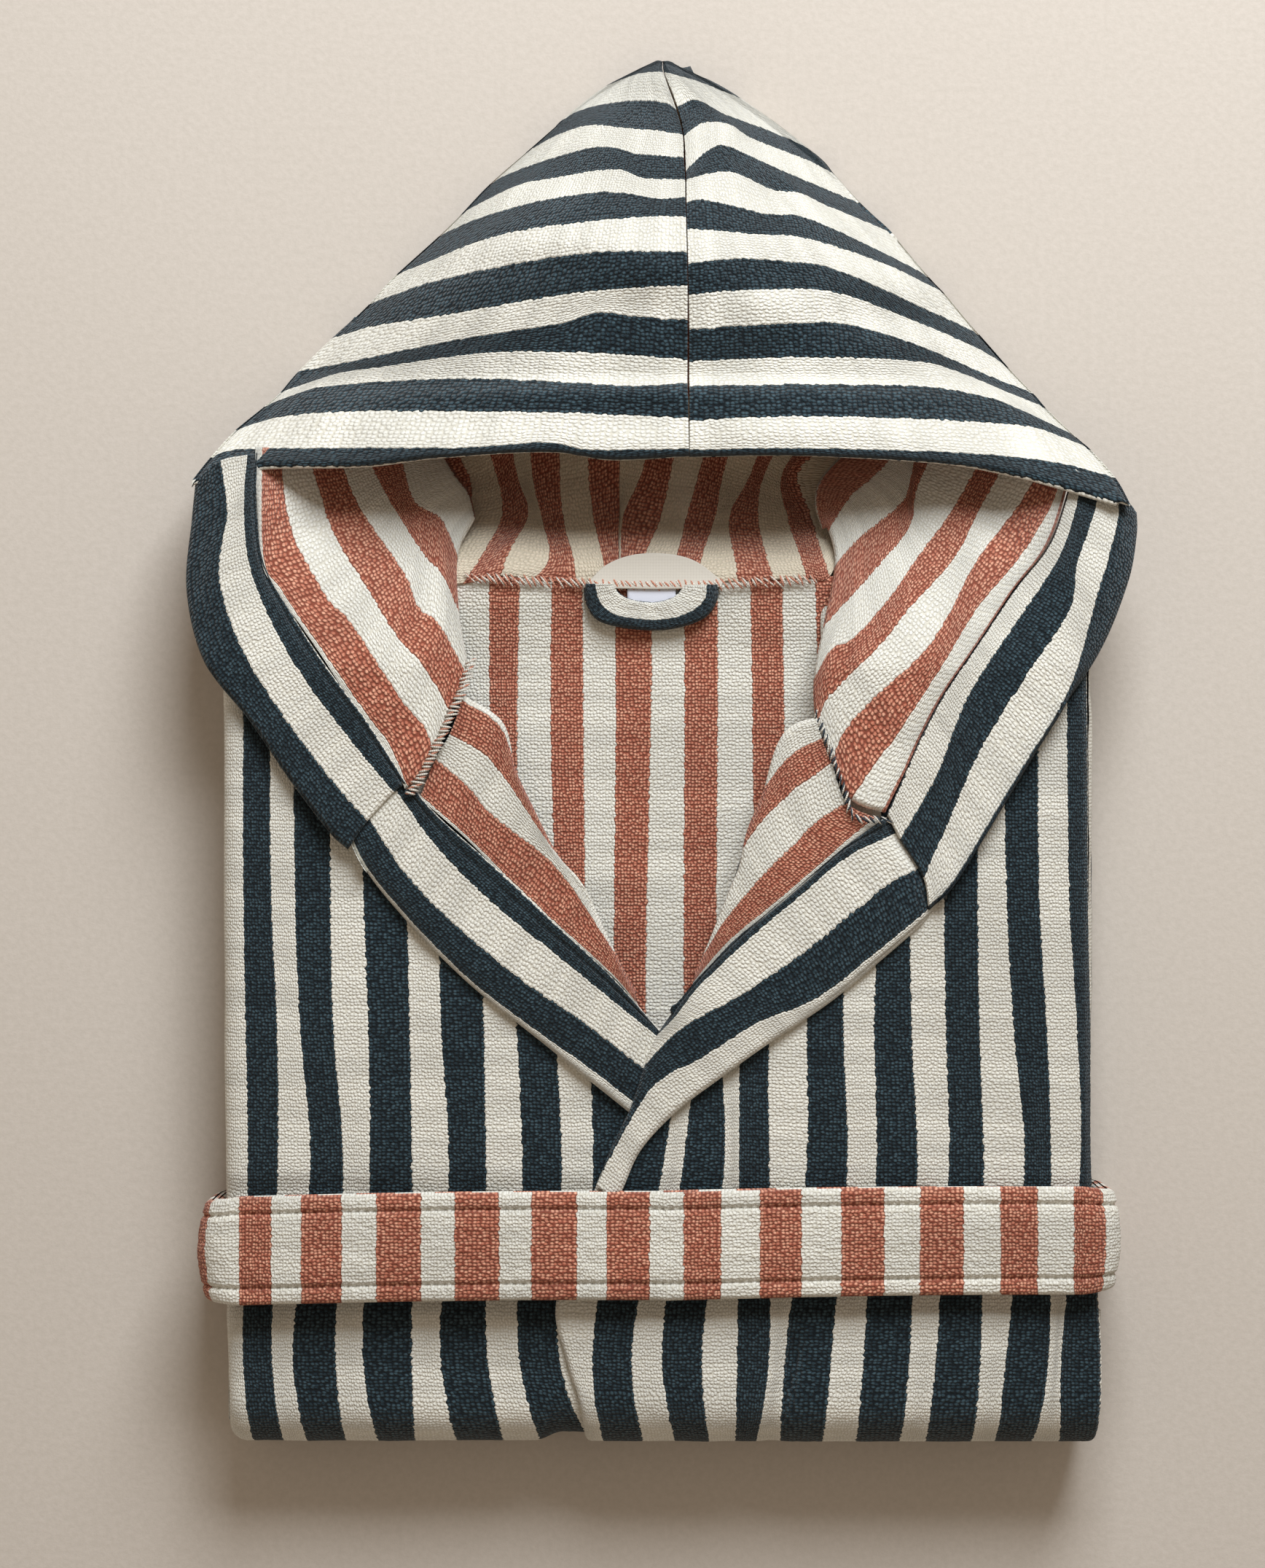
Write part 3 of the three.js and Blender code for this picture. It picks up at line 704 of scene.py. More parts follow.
def lapel_left():
    rails = [
        [(-89.0, -14.5), (-69, -32.5), (-54, -48), (-38, -62.6), (-17.6, -81.6), (-6.5, -94.5)],
        [(-86.6, -16.5), (-70.2, -30.8), (-54.6, -46.4), (-39, -61.2), (-18.2, -80.2), (-7.2, -93.5)],
        [(-81.1, -3.5), (-70.2, -12.6), (-59.8, -24.3), (-39, -41.2), (-20.8, -67.2), (-8, -90)],
        [(-76.0, 5.2), (-65, -0.9), (-57.2, -9.2), (-46, -26), (-26, -56), (-8, -88)],
        [(-71.5, 17.3), (-58, 8), (-51, -9), (-40, -27), (-24, -58), (-7.5, -87)],
        [(-66.0, 27.0), (-50, 14), (-44, -5), (-34, -24), (-18, -55), (-2, -86)],
    ]
    edge = lambda t: 4.15 - 0.55 * step(0.12, 0.4, t) - 0.9 * step(0.3, 0.62, t) - 0.9 * step(0.55, 0.95, t)
    roll = lambda u, t: 1.2 * step(1.0, 3.4, u)
    piece = cloth("lapel_left_cloth", rails, on_pack(LEFT_TOP + 4.6, roll, 51), INSIDE, u_first=0,
                  u_range=(0.0, edge), t_range=(0, 0.965), thick=thin_tip, edges=(0, 2.2, 0, 0),
                  seed=52)
    on_the_pack(piece, "lapel_left")


def front_band_left():
    rails = [
        [(-115.5, -22.5), (-107, -42.5), (-91, -62.5), (-70.2, -83.4), (-49.4, -100.4), (-28.6, -117.4),
         (-12.4, -130.6)],
        [(-114.5, -22.5), (-106, -41.5), (-89.8, -61.3), (-69.2, -82), (-48.2, -98.2), (-26.5, -113.6),
         (-9.5, -126.6)],
        [(-107.6, -20.0), (-91, -45.1), (-70.2, -65.9), (-49.4, -82.8), (-28.6, -97.1), (-4.5, -115.6)],
        [(-98.2, -10.0), (-80.6, -34.7), (-59.8, -55.5), (-39, -72.4), (-18.2, -89.3), (-0.5, -103.5)],
        [(-93.0, -9.0), (-80.6, -23.8), (-59.8, -42.5), (-39, -62), (-18.2, -81.5), (-1.4, -100.6)],
    ]
    groove = lambda u: 0.9 * np.exp(-((u - 3.55) / 0.09) ** 2)
    dip = lambda t: 2.6 * (1 - step(0.0, 0.06, t))
    base = on_pack(LEFT_TOP + 5.6, lambda u, t: -1.4 * (1 - step(0.9, 1.6, u)) - groove(u) - dip(t), 55)
    piece = cloth("front_band_left_cloth", rails, base, OUTSIDE, u_first=0, u_range=(0.15, 4.0),
                  thick=6.0, edges=(2.6, 0.8, 0, 0), seed=56)
    on_the_pack(piece, "front_band_left")


def lapel_right():
    rails = [
        [(77.0, -26.0), (67.6, -32.8), (57.2, -42), (39, -57.6), (23.4, -70.6), (8.4, -87)],
        [(75.4, -24.6), (66.6, -31.4), (56.4, -40.4), (38.2, -56.0), (22.7, -69.0), (8.6, -85.6)],
        [(65, -19.1), (54.6, -25.6), (44.2, -36), (33.8, -46.4), (19.5, -64.6), (10.4, -82.8)],
        [(59.8, -4.8), (54.6, -8.7), (44.2, -16.5), (31.2, -30.8), (19, -54), (9, -80)],
        [(56.4, 3.6), (49.4, 0.4), (41.6, -6.1), (29.9, -24), (18, -50), (7, -78)],
        [(54.5, 11.5), (46, 8.5), (37, 0), (25, -18), (12, -46), (2, -74)],
        [(52.0, 19.0), (42, 15), (32, 6), (19, -12), (6, -40), (-3, -70)],
    ]
    edge = lambda t: 4.95 - 1.15 * step(0.1, 0.34, t) - 1.1 * step(0.3, 0.56, t) - 0.8 * step(0.5, 0.98, t)
    roll = lambda u, t: 1.0 * step(1.0, 3.6, u)
    piece = cloth("lapel_right_cloth", rails, on_pack(RIGHT_TOP + 4.6, roll, 61), INSIDE, u_first=0,
                  u_range=(0.0, edge), t_range=(0, 0.965), thick=thin_tip, edges=(0, 2.2, 0, 0),
                  seed=62)
    on_the_pack(piece, "lapel_right")


def front_band_right():
    rails = [
        [(98.4, -57.5), (79.3, -74.2), (59.8, -90.3), (39, -104.2), (20.8, -117.2), (5.2, -129),
         (-7.8, -143), (-14.8, -158), (-22, -172)],
        [(97.6, -54.5), (75.4, -72.4), (54.6, -88.6), (33.8, -97.1), (13, -110.1), (2.6, -115.3),
         (-5.2, -121.8), (-14, -136), (-30, -166)],
        [(93.6, -41.5), (81.9, -46.6), (70.2, -55.5), (49.4, -72.4), (28.6, -86.7), (7.8, -98.4),
         (-4.4, -110), (-18, -126), (-42, -160)],
        [(84.6, -29.0), (65, -38.6), (49.4, -51.6), (33.8, -64.6), (13, -84.1), (2.6, -97.1),
         (-14, -113), (-30, -130), (-54, -156)],
        [(82.0, -23.0), (67.6, -32.1), (57.2, -41.2), (39, -56.8), (23.4, -69.8), (9.1, -86.2),
         (-8, -104), (-30, -124), (-60, -150)],
    ]
    front_edge = [(9.5, -84.5), (3.9, -93.2), (-1.8, -101.5), (-6.5, -112.7), (-11.4, -127.8),
                  (-18.7, -142.6), (-24.2, -157.4), (-31, -172)]
    meet = until_curve(rails, front_edge, otherwise=4.0)

    groove = lambda u: 1.0 * np.exp(-((u - 3.5) / 0.12) ** 2)
    fold = lambda u, t: -1.6 * (1 - step(0.3, 1.3, u)) * (1 - t)
    dip = lambda t: 2.6 * (1 - step(0.0, 0.05, t))
    shape = lambda u, t: fold(u, t) - groove(u) * (1 - step(0.5, 0.62, t)) - dip(t)
    base = on_pack(RIGHT_TOP + 5.4, shape, 65)
    piece = cloth("front_band_right_cloth", rails, base, OUTSIDE, u_first=0, u_range=(0.0, meet),
                  t_range=(0, 0.93), thick=6.0, edges=(2.8, 1.6, 0, 0), seed=66)
    on_the_pack(piece, "front_band_right")


# ------------------------------------------------------------------ hood, lower part
def flap_height(base, seed):
    def heights(x, y, u, t):
        past = np.maximum(0, y - 28) / 72
        wave = lattice_noise(x / 20, y / 30, seed) * 0.8
        inward = 1 - step(118, 150, np.abs(x))
        return base - (8 + 19 * inward) * past ** 1.3 + wave
    return heights


def hood_flap_left():
    rails = [
        [(-146, 108), (-145.2, 90), (-143.5, 70.6), (-138.6, 57), (-124.3, 36.8), (-111.8, 17.6),
         (-99, -2.7), (-92.0, -13.6)],
        [(-143.5, 108), (-142.5, 68.8), (-135.7, 56), (-119.3, 32.1), (-105, 11.8), (-97.2, 1.2),
         (-90.6, -13.8)],
        [(-137.5, 108), (-132.9, 79.2), (-120.4, 55), (-110.8, 44.6), (-94.4, 19.6), (-83.7, 6.1),
         (-81.4, -3.4)],
        [(-128.5, 108), (-118.3, 78.1), (-105.8, 57.9), (-94.4, 39.7), (-84.8, 29), (-75.6, 13.0)],
        [(-118, 108), (-108.7, 86.7), (-92.3, 62.8), (-87.6, 51.1), (-79.8, 44.6), (-70.2, 27.5)],
        [(-108, 108), (-97.2, 87.8), (-85.8, 70.3), (-79, 62.8), (-73.0, 49.5)],
        [(-95, 108), (-89.4, 89.8), (-79.8, 83.1), (-73.6, 70)],
        [(-80, 108), (-75, 100), (-70, 93), (-67.6, 84)],
    ]
    piece = cloth("hood_flap_left_cloth", rails, flap_height(LEFT_TOP + 7.0, 71), INSIDE, u_first=0,
                  thick=5.5, edges=(0, 3.0, 0, 2.4), seed=72)
    return piece


def hood_band_left():
    rails = [
        [(-167.6, 96.0), (-168.8, 82), (-170.4, 57), (-163.5, 31), (-148.2, 10.8), (-132.9, -11.3),
         (-119.3, -29.5), (-112.4, -36.0)],
        [(-158.0, 103), (-155.4, 84), (-158.0, 62), (-150.3, 36.8), (-135.7, 12.9), (-119.3, -9.2),
         (-105.0, -25.6)],
        [(-148.5, 105), (-149.5, 88), (-147.5, 66), (-138.6, 43.6), (-127.1, 24.3), (-112.6, 5.1),
         (-95.6, -15.4)],
        [(-145.0, 106), (-145.0, 88), (-142.5, 67), (-133.0, 49), (-119.5, 28.5), (-105, 9),
         (-91.4, -12.6)],
    ]
    hem = lambda u: 0.8 * np.exp(-((u - 3.72) / 0.10) ** 2)
    base = flap_height(LEFT_TOP + 7.6, 75)
    heights = lambda x, y, u, t: base(x, y, u, t) - hem(u) - 3.0 * (1 - step(1.0, 1.9, u)) * step(10, 60, y)
    piece = cloth("hood_band_left_cloth", rails, heights, OUTSIDE, u_first=1, thick=6.0,
                  edges=(3.0, 0.8, 0, 1.2), seed=76)
    return piece


def hood_flap_right():
    rails = [
        [(146.5, 100), (138, 74), (125, 56.5), (112, 37.5), (100, 20), (92, 5), (87, -6), (79.0, -22.5)],
        [(145.5, 100), (137, 74), (123.8, 56.0), (110.8, 37), (98.8, 19.5), (90.8, 4.5), (85.8, -6.5),
         (77.6, -22.6)],
        [(143.5, 100), (137.8, 84.9), (126.1, 66.7), (111.8, 49.8), (98.8, 29), (84, 6.4), (72.8, -8.7),
         (66.6, -18.0)],
        [(137, 103), (127.4, 87.5), (111.8, 66.7), (102.7, 49.8), (92.3, 34.2), (74.6, 18.1),
         (64.2, 6.4), (60.0, -4.0)],
        [(125.5, 106), (114.4, 87.5), (104, 68), (88.4, 51.1), (78, 38.1), (65, 25.1), (58, 17.5),
         (54.6, 8.8)],
        [(116.0, 107), (104, 86.2), (91.5, 69.3), (80.6, 53.7), (67.6, 39.4), (59.8, 35.5), (53.6, 25)],
        [(99, 110), (91.5, 94), (88.4, 79.7), (76.7, 65.4), (66.3, 53.7), (57.2, 43.8)],
        [(92, 110), (88.4, 94), (84.5, 87.5), (70.2, 75.8), (61.6, 66)],
        [(87, 110), (75.4, 98), (67.6, 91.4), (59.6, 79)],
        [(66, 108), (57.2, 98), (55.1, 89.5), (57.4, 80)],
    ]
    piece = cloth("hood_flap_right_cloth", rails, flap_height(RIGHT_TOP + 5.2, 81), INSIDE, u_first=1.0,
                  thick=5.0, edges=(0, 2.8, 0, 2.2), seed=82, colour_shift=0.0)
    return piece


def hood_band_right():
    rails = [
        [(169.6, 84.5), (169.4, 76), (165.9, 58.9), (154.7, 32.9), (134.9, 4), (119.9, -21.5),
         (103.7, -48.2), (94.6, -57.6)],
        [(162.2, 92), (161.6, 80), (153.7, 52.9), (144.3, 21.5), (129.2, -4), (118.6, -21.5),
         (103.2, -46.8), (94.2, -56.0)],
        [(155.6, 96), (153.6, 84), (147.3, 66), (144.3, 49.3), (128.2, 25.1), (111.8, -1.7),
         (99.1, -30.8), (92.4, -45.8)],
        [(149.5, 98), (146.9, 85), (140.9, 68), (126.9, 46.9), (108.4, 19.1), (96.7, -9.8), (84.0, -32)],
        [(147.2, 100), (138.6, 74), (125.6, 56.7), (112.6, 37.7), (100.6, 20.2), (92.4, 5), (87.4, -6),
         (79.6, -23.6)],
    ]
    base = flap_height(RIGHT_TOP + 5.8, 85)
    heights = lambda x, y, u, t: base(x, y, u, t) - 3.0 * (1 - step(1.0, 1.9, u)) * step(10, 60, y)
    piece = cloth("hood_band_right_cloth", rails, heights, OUTSIDE, u_first=1, thick=5.5,
                  edges=(3.0, 0.8, 0, 1.2), seed=86)
    return piece


# ------------------------------------------------------------------ hood, upper part
def half_width(y, side):
    corner = np.where(side < 0, 168.0, 170.0)
    return corner * np.maximum((250.0 - y) / 158.0, 0) ** 0.75


RIDGE = smooth([(96, 62), (106, 63), (120, 60.5), (126, 59), (131.5, 51.5), (138, 51), (155, 53),
                (172, 54), (186, 48), (205, 35), (228, 20), (250, 8)], 300)


def shell_height(x, y):
    """High along the middle, where soft folds cross the hood, and low at its outline."""
    middle = np.interp(y, RIDGE[:, 0], RIDGE[:, 1])
    to_side = np.clip(np.abs(x) / (half_width(y, x) + 1e-3), 0, 1)
    edge = 7.2 + 43 * np.clip(1 - (y - 88) / 50, 0, 1) ** 1.3
    return edge + (middle - edge) * (1 - to_side ** 2.3)


def hood_wrinkles(x, y, seed):
    fan = lattice_noise(x / 38 + 5, y / 13, seed) * 1.9
    fine = lattice_noise(x / 17, y / 15, seed + 1) * 0.7
    seam = -1.1 * np.exp(-((x - 7.0) / 3.0) ** 2)
    return fan + fine + seam


def shell_left():
    rails = [
        [(0.0, 251), (-2, 251.2), (-4.5, 250.4)],
        [(0.4, 246.5), (-10, 245.8), (-21.5, 241.6)],
        [(5.2, 231.8), (0.3, 234.7), (-12.5, 235.4), (-28.9, 233.1), (-37.0, 229.2)],
        [(7.3, 221.9), (-14.8, 224.8), (-27.6, 226.1), (-38.2, 223.2), (-50.6, 217.4)],
        [(7.6, 212.8), (-9.1, 213.9), (-17.2, 216.7), (-27.6, 216.7), (-51, 211), (-63.4, 206.3)],
        [(8.0, 204), (-6.8, 204.5), (-17.2, 208.1), (-38.2, 206.3), (-54.3, 203.5), (-73.9, 194.6)],
        [(8.0, 197.0), (-2.1, 196.4), (-16.1, 198.8), (-32.2, 198.3), (-60.1, 193.6), (-82.3, 186.6)],
        [(8.2, 189.4), (-3.4, 189.4), (-32.2, 187.1), (-61.4, 183.7), (-90.5, 174.9), (-98.0, 172.8)],
        [(8.4, 175.9), (-20.8, 175.9), (-41.6, 174.3), (-81.1, 168.6), (-96.2, 165), (-107.8, 162.0)],
        [(8.6, 163.9), (-26.5, 162.1), (-61.4, 157.7), (-78.8, 155.4), (-106.6, 153), (-121.4, 149.6)],
        [(8.6, 151.7), (-9.1, 153), (-23.1, 154.6), (-38.2, 150.7), (-69.4, 147), (-110.5, 140.8),
         (-133.4, 137.8)],
        [(8.6, 137.9), (-26.5, 140.3), (-61.4, 141.3), (-99.6, 137.9), (-119.3, 135.9), (-139.6, 129.8)],
        [(8.6, 129.6), (-9.1, 128.1), (-41.6, 130.4), (-78.8, 132.2), (-120.6, 131.4), (-133.4, 128.6),
         (-145.0, 124.6)],
        [(8.8, 116.4), (-32.2, 118.2), (-78.8, 119.7), (-125.1, 120.5), (-142.5, 119.2), (-155.2, 115.2)],
        [(9.0, 105.4), (-25.5, 105.0), (-41.6, 107.7), (-73.1, 106), (-113.6, 106.8), (-152, 107.4),
         (-163.4, 104.4)],
        [(9.0, 102.9), (-18.5, 101.6), (-41.6, 104.7), (-81.1, 103.1), (-106.6, 100.8), (-146.1, 101.4),
         (-168.8, 96.0)],
    ]
    return hood_shell("hood_front_left_cloth", rails, 91)


def shell_right():
    rails = [
        [(0.2, 251), (2.5, 251.0), (5.2, 250.0)],
        [(0.8, 246.5), (15, 242.6), (30.4, 237.0)],
        [(5.6, 233.1), (12.5, 236), (22.9, 230.8), (46, 222.7), (56.2, 217.6)],
        [(7.8, 221.4), (14.8, 226.6), (24.2, 226.6), (33.3, 220.9), (53, 214.4), (63.4, 209.8)],
        [(8.3, 207.4), (11.4, 211), (18.2, 216.7), (24.2, 217.2), (43.9, 208.7), (65.8, 201.1),
         (73.0, 199.4)],
        [(8.4, 204), (18.2, 206.8), (26.5, 206.8), (39.3, 201.1), (49.7, 200.6), (61.4, 195.9),
         (84.8, 188.0)],
        [(8.4, 194.6), (14.8, 195.9), (38, 191.2), (49.7, 191.2), (74.1, 182.4), (98.0, 171.6)],
        [(8.6, 184.7), (35.6, 183.2), (49.7, 182.9), (77.5, 176.2), (103.4, 165.8)],
        [(8.8, 171.5), (26.5, 173.8), (43.9, 173.3), (61.4, 171.5), (95.9, 158.7), (116.4, 151.0)],
        [(9.0, 160.6), (38, 162.9), (61.4, 162.9), (87.9, 155.4), (113.4, 146), (126.8, 138.8)],
        [(9.2, 148.3), (43.9, 150.7), (67.1, 151.2), (95.9, 143.7), (122, 133.6), (135.4, 129.0)],
        [(9.2, 137.2), (49.7, 139), (90.2, 139), (105.3, 136.4), (122.5, 129.8), (139.6, 123.4)],
        [(9.2, 128.1), (49.7, 129.1), (90.2, 129.6), (107.6, 128.1), (125.1, 123.9), (150.0, 112.0)],
        [(9.2, 115.3), (43.9, 116.9), (90.2, 116.9), (128.4, 115.8), (141.4, 113), (154.6, 107.4)],
        [(9.2, 105.0), (49.7, 105.6), (95.9, 105), (113.4, 104.4), (136.8, 102.6), (151.0, 99.6),
         (162.4, 96.5)],
        [(9.2, 102.6), (49.7, 103.2), (101.4, 101.5), (127.4, 97.4), (140.4, 94.2), (153.4, 90.4),
         (166.4, 86.6)],
    ]
    return hood_shell("hood_front_right_cloth", rails, 95)


def hood_shell(name, rails, seed):
    def heights(x, y, u, t):
        calm = step(0, 0.08, t) * (1 - step(14.2, 15, u))
        return shell_height(x, y) + hood_wrinkles(x, y, 97) * (0.35 + 0.65 * calm)
    piece = cloth(name, rails, heights, OUTSIDE, u_first=1, thick=4.6, edges=(0, 2.6, 0.5, 3.6),
                  seed=seed)
    return piece


def back_layer_height(x, y, u, t):
    """Falls from the neck seam to the ground, then lies flat to the peak."""
    s = step(62, 104, y)
    start = 37.4 - 0.16 * np.maximum(y - 58, 0)
    folds = lattice_noise(x / 13 + 2, y / 40, 101) * 2.2 * step(60, 74, y) * (1 - step(94, 112, y))
    return start * (1 - s) + 3.0 * s + folds


def contour_y(x):
    """Where a line of constant x meets the hood's outline."""
    return 239.0 - 158.0 * (abs(x) / 166.0) ** (1 / 0.75)


def hood_back_left():
    rails = [
        [(-15.6, 59), (-15.6, 69), (-15.6, 85), (-15.6, 104), (-14, 140), (-6, 200), (-1, 240)],
        [(-20, 59), (-22, 69), (-25.5, 85), (-27.3, 104), (-27, 150), (-26, contour_y(26))],
        [(-31.2, 59), (-32.5, 69), (-36.4, 85), (-37.7, 104), (-38, 150), (-38, contour_y(38))],
        [(-46.8, 60.5), (-41, 69), (-44.2, 85), (-48.1, 104), (-50, 150), (-50, contour_y(50))],
        [(-58.5, 62), (-54.6, 73), (-49, 86), (-54, 104), (-62, 150), (-62, contour_y(62))],
        [(-72, 59), (-64, 72), (-58.5, 86), (-62, 104), (-74, 140), (-76, contour_y(76))],
        [(-84, 60), (-76, 78), (-70, 92), (-74, 106), (-90, 130), (-94, contour_y(94))],
        [(-96, 62), (-90, 84), (-88, 98), (-100, 116), (-116, contour_y(116))],
        [(-106, 64), (-108, 90), (-122, 103), (-138, contour_y(138))],
    ]
    piece = cloth("hood_back_left_cloth", rails, back_layer_height, LINING_PAINTED_SHADE, u_first=0, thick=2.7,
                  edges=(0.6, 1.5, 0, 2.0), seed=103, spacing=1.1, colour_shift=1.0)
    return piece


def hood_back_right():
    rails = [
        [(-15.6, 59), (-15.6, 69), (-15.6, 85), (-15.6, 104), (-14, 140), (-6, 200), (-1, 240)],
        [(-15.0, 59), (-15.0, 69), (-14.0, 85), (-6.5, 104), (4, 150), (8, contour_y(8))],
        [(-10, 59), (-6.5, 69), (0, 85), (3.9, 104), (14, 150), (22, contour_y(22))],
        [(3, 59), (5.2, 69), (9.1, 85), (14.3, 104), (26, 150), (36, contour_y(36))],
        [(12, 59), (14.3, 69), (19.5, 85), (23.4, 104), (38, 150), (50, contour_y(50))],
        [(27.3, 60), (26, 69), (24.7, 85), (33.8, 104), (50, 150), (64, contour_y(64))],
        [(40.3, 60.5), (37.7, 69), (35.1, 85), (39, 104), (60, 140), (78, contour_y(78))],
        [(52, 61), (49.4, 70), (45.5, 85), (45.5, 104), (72, 132), (96, contour_y(96))],
        [(60, 62), (57.2, 72), (54, 86), (52, 104), (84, 124), (118, contour_y(118))],
        [(70, 84), (70, 90), (74, 96), (100, 104), (138, contour_y(138))],
    ]
    piece = cloth("hood_back_right_cloth", rails, back_layer_height, LINING_PAINTED_SHADE, u_first=0, thick=2.7,
                  edges=(0.6, 1.5, 0, 2.0), seed=107, spacing=1.1, colour_shift=0.0)
    return piece


# ------------------------------------------------------------------ belt
BELT_BORDERS = (-161.2, -150.0, -138.6, -128.2, -113.6, -101.4, -85.5, -73.6, -57.7, -46.5, -30.2,
                -19.8, -4.4, 7.5, 20.8, 34.6, 49.4, 63.4, 78.8, 91.3, 106.9, 119.9, 133.1, 145.9, 155.0)
BELT_HALF = 19.2
BELT_NEAR = -195.6
BELT_FAR = -157.6
BELT_CORNER = 11.0
BELT_STRIPE = 11.6
BELT_SEAM = 13.2
STITCH_PITCH = 3.1


def belt_wrap(name, node, box, thick, seed, phase):
    """One turn of the belt: a flattened tube of terry whose two edges are stitched down."""
    x0, x1, z0, z1 = box
    r = BELT_CORNER
    corners = [(x0 + r, z1 - r, math.pi / 2, math.pi), (x0 + r, z0 + r, math.pi, 1.5 * math.pi),
               (x1 - r, z0 + r, 1.5 * math.pi, 2 * math.pi), (x1 - r, z1 - r, 0, math.pi / 2)]
    ring = [(0.0, z1)]
    for cx, cz, a0, a1 in corners:
        for a in np.linspace(a0, a1, 12):
            ring.append((cx + r * math.cos(a), cz + r * math.sin(a)))
    ring.append((0.0, z1))
    ring = np.array(ring)
    reach = np.concatenate([[0], np.cumsum(np.linalg.norm(np.diff(ring, axis=0), axis=1))])
    s = np.linspace(0, reach[-1], int(reach[-1] / 0.9) + 1)
    x = np.interp(s, reach, ring[:, 0])
    z = np.interp(s, reach, ring[:, 1])
    line = np.stack([x, np.zeros_like(x), z], 1)
    tangent = np.gradient(line, axis=0)
    tangent[0] = tangent[-1] = (-1, 0, 0)
    tangent /= np.linalg.norm(tangent, axis=1, keepdims=True)
    out = np.stack([tangent[:, 2], np.zeros_like(x), -tangent[:, 0]], 1)
    # stripe coordinate: BELT_BORDERS along the flat top, even stripes round the rest
    on_top = np.interp(x, BELT_BORDERS, np.arange(len(BELT_BORDERS)))
    flat_x0 = x0 + r
    flat_x1 = x1 - r
    u_left = np.interp(flat_x0, BELT_BORDERS, np.arange(len(BELT_BORDERS)))
    u_right = np.interp(flat_x1, BELT_BORDERS, np.arange(len(BELT_BORDERS)))
    s_left = -flat_x0
    s_right = reach[-1] - flat_x1
    u = np.where(s <= s_left, on_top, np.where(s >= s_right, on_top, u_left - (s - s_left) / BELT_STRIPE))
    right_side = (s > reach[-1] / 2) & (s < s_right)
    u = np.where(right_side, u_right + (s_right - s) / BELT_STRIPE, u)
    u = u + phase
    fine = np.array([0, 0.12, 0.4, 0.9, 1.6])
    middle = np.linspace(-BELT_HALF + 2.3, BELT_HALF - 2.3, 56)
    w = np.concatenate([-BELT_HALF + fine, middle, BELT_HALF - fine[::-1]])
    edge = edge_drop(BELT_HALF - np.abs(w), thick / 2)
    seam = np.exp(-((np.abs(w) - BELT_SEAM) / 0.75) ** 2)
    pillow = 0.7 * (1 - (w / BELT_HALF) ** 2)
    dimples = 1.35 + 0.55 * np.cos(2 * math.pi * s / STITCH_PITCH)
    rise = (pillow - edge)[None, :] - dimples[:, None] * seam[None, :]
    side = np.abs(out[:, 0])
    bulge = 2.4 * side[:, None] * (1 - (w[None, :] / BELT_HALF) ** 2)
    uu = np.broadcast_to(u[:, None], (len(s), len(w)))
    vv = np.broadcast_to(w[None, :] + 30, uu.shape)
    jitter = lattice_noise(uu * 8, vv / 1.6, seed) * 0.22 + lattice_noise(uu * 1.5, vv / 6, seed) * 0.25
    narrow = 1 - 0.07 * side[:, None]
    wander = 0.6 * np.sin(s / 46)[:, None]
    y = (BELT_FAR + BELT_NEAR) / 2 + w[None, :] * narrow + wander + 0.012 * x[:, None]
    offset = rise + bulge + jitter
    p = np.stack([x[:, None] + out[:, :1] * offset, y, z[:, None] + out[:, 2:] * offset], 2)
    inner_offset = -thick + edge[None, :] + bulge
    q = np.stack([x[:, None] + out[:, :1] * inner_offset, y, z[:, None] + out[:, 2:] * inner_offset], 2)
    fab = np.stack([uu, vv, np.zeros_like(uu)], 2)
    piece = make_object(name, [(p, fab, True, 0), (q[:, ::2], fab[:, ::2], False, 0)], [inner])
    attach(piece, "belt")
    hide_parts(node)


# ------------------------------------------------------------------ stitches
def along(curve, pitch):
    """Points every pitch mm along a curve, with the direction and the side at each."""
    length = np.linalg.norm(np.diff(smooth(curve, 200), axis=0), axis=1).sum()
    p = smooth(curve, max(3, int(length / pitch)))
    ahead = np.gradient(p, axis=0)
    ahead /= np.linalg.norm(ahead, axis=1, keepdims=True)
    side = np.cross(ahead, [0.0, 0.0, 1.0])
    return p, ahead, side


def overlock(name, curve, width, pitch, radius, material, seed):
    """Slanting stitches laid over a seam's edge, none of them quite alike."""
    rng = np.random.default_rng(seed)
    p, ahead, side = along(curve, pitch)
    paths = []
    for one, go, out in zip(p, ahead, side):
        lean = pitch * rng.uniform(0.3, 1.0)
        reach = width * rng.uniform(0.35, 0.6)
        spots = np.linspace(-1, 1, 6)
        paths.append([one + out * reach * k + go * lean * k + (0, 0, 0.9 - 1.5 * k * k) for k in spots])
    piece = tube(name, paths, radius, material)
    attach(piece, "pack")


# ------------------------------------------------------------------ small pieces
def hanging_loop():
    rails = [
        [(-28.3, 58.9), (-27.8, 52.4), (-23.4, 45.9), (-13, 43), (-1.3, 42.3), (7.8, 43.8),
         (15.6, 47.2), (19.5, 53.2), (20, 58.6)],
        [(-24.2, 58.9), (-22.6, 52.8), (-17.4, 48.2), (-7.8, 46.4), (2.6, 46.6), (10.4, 49.4),
         (14.8, 53.7), (15.6, 58.6)],
        [(-17.2, 58.9), (-15.6, 55.8), (-10.9, 53.4), (-2.6, 52.6), (3.9, 54.6), (7.2, 58.6)],
    ]
    crown = lambda x, y, u, t: 40.2 + 0.6 * np.sin(np.clip((u - 1), 0, 2) * math.pi / 2)
    piece = cloth("hanging_loop_cloth", rails, crown, OUTSIDE, u_first=1, thick=3.6,
                  edges=(1.6, 1.8, 0, 0), spacing=0.6, seed=111, relief=0.3)
    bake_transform(piece)
    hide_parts("hanging_loop")


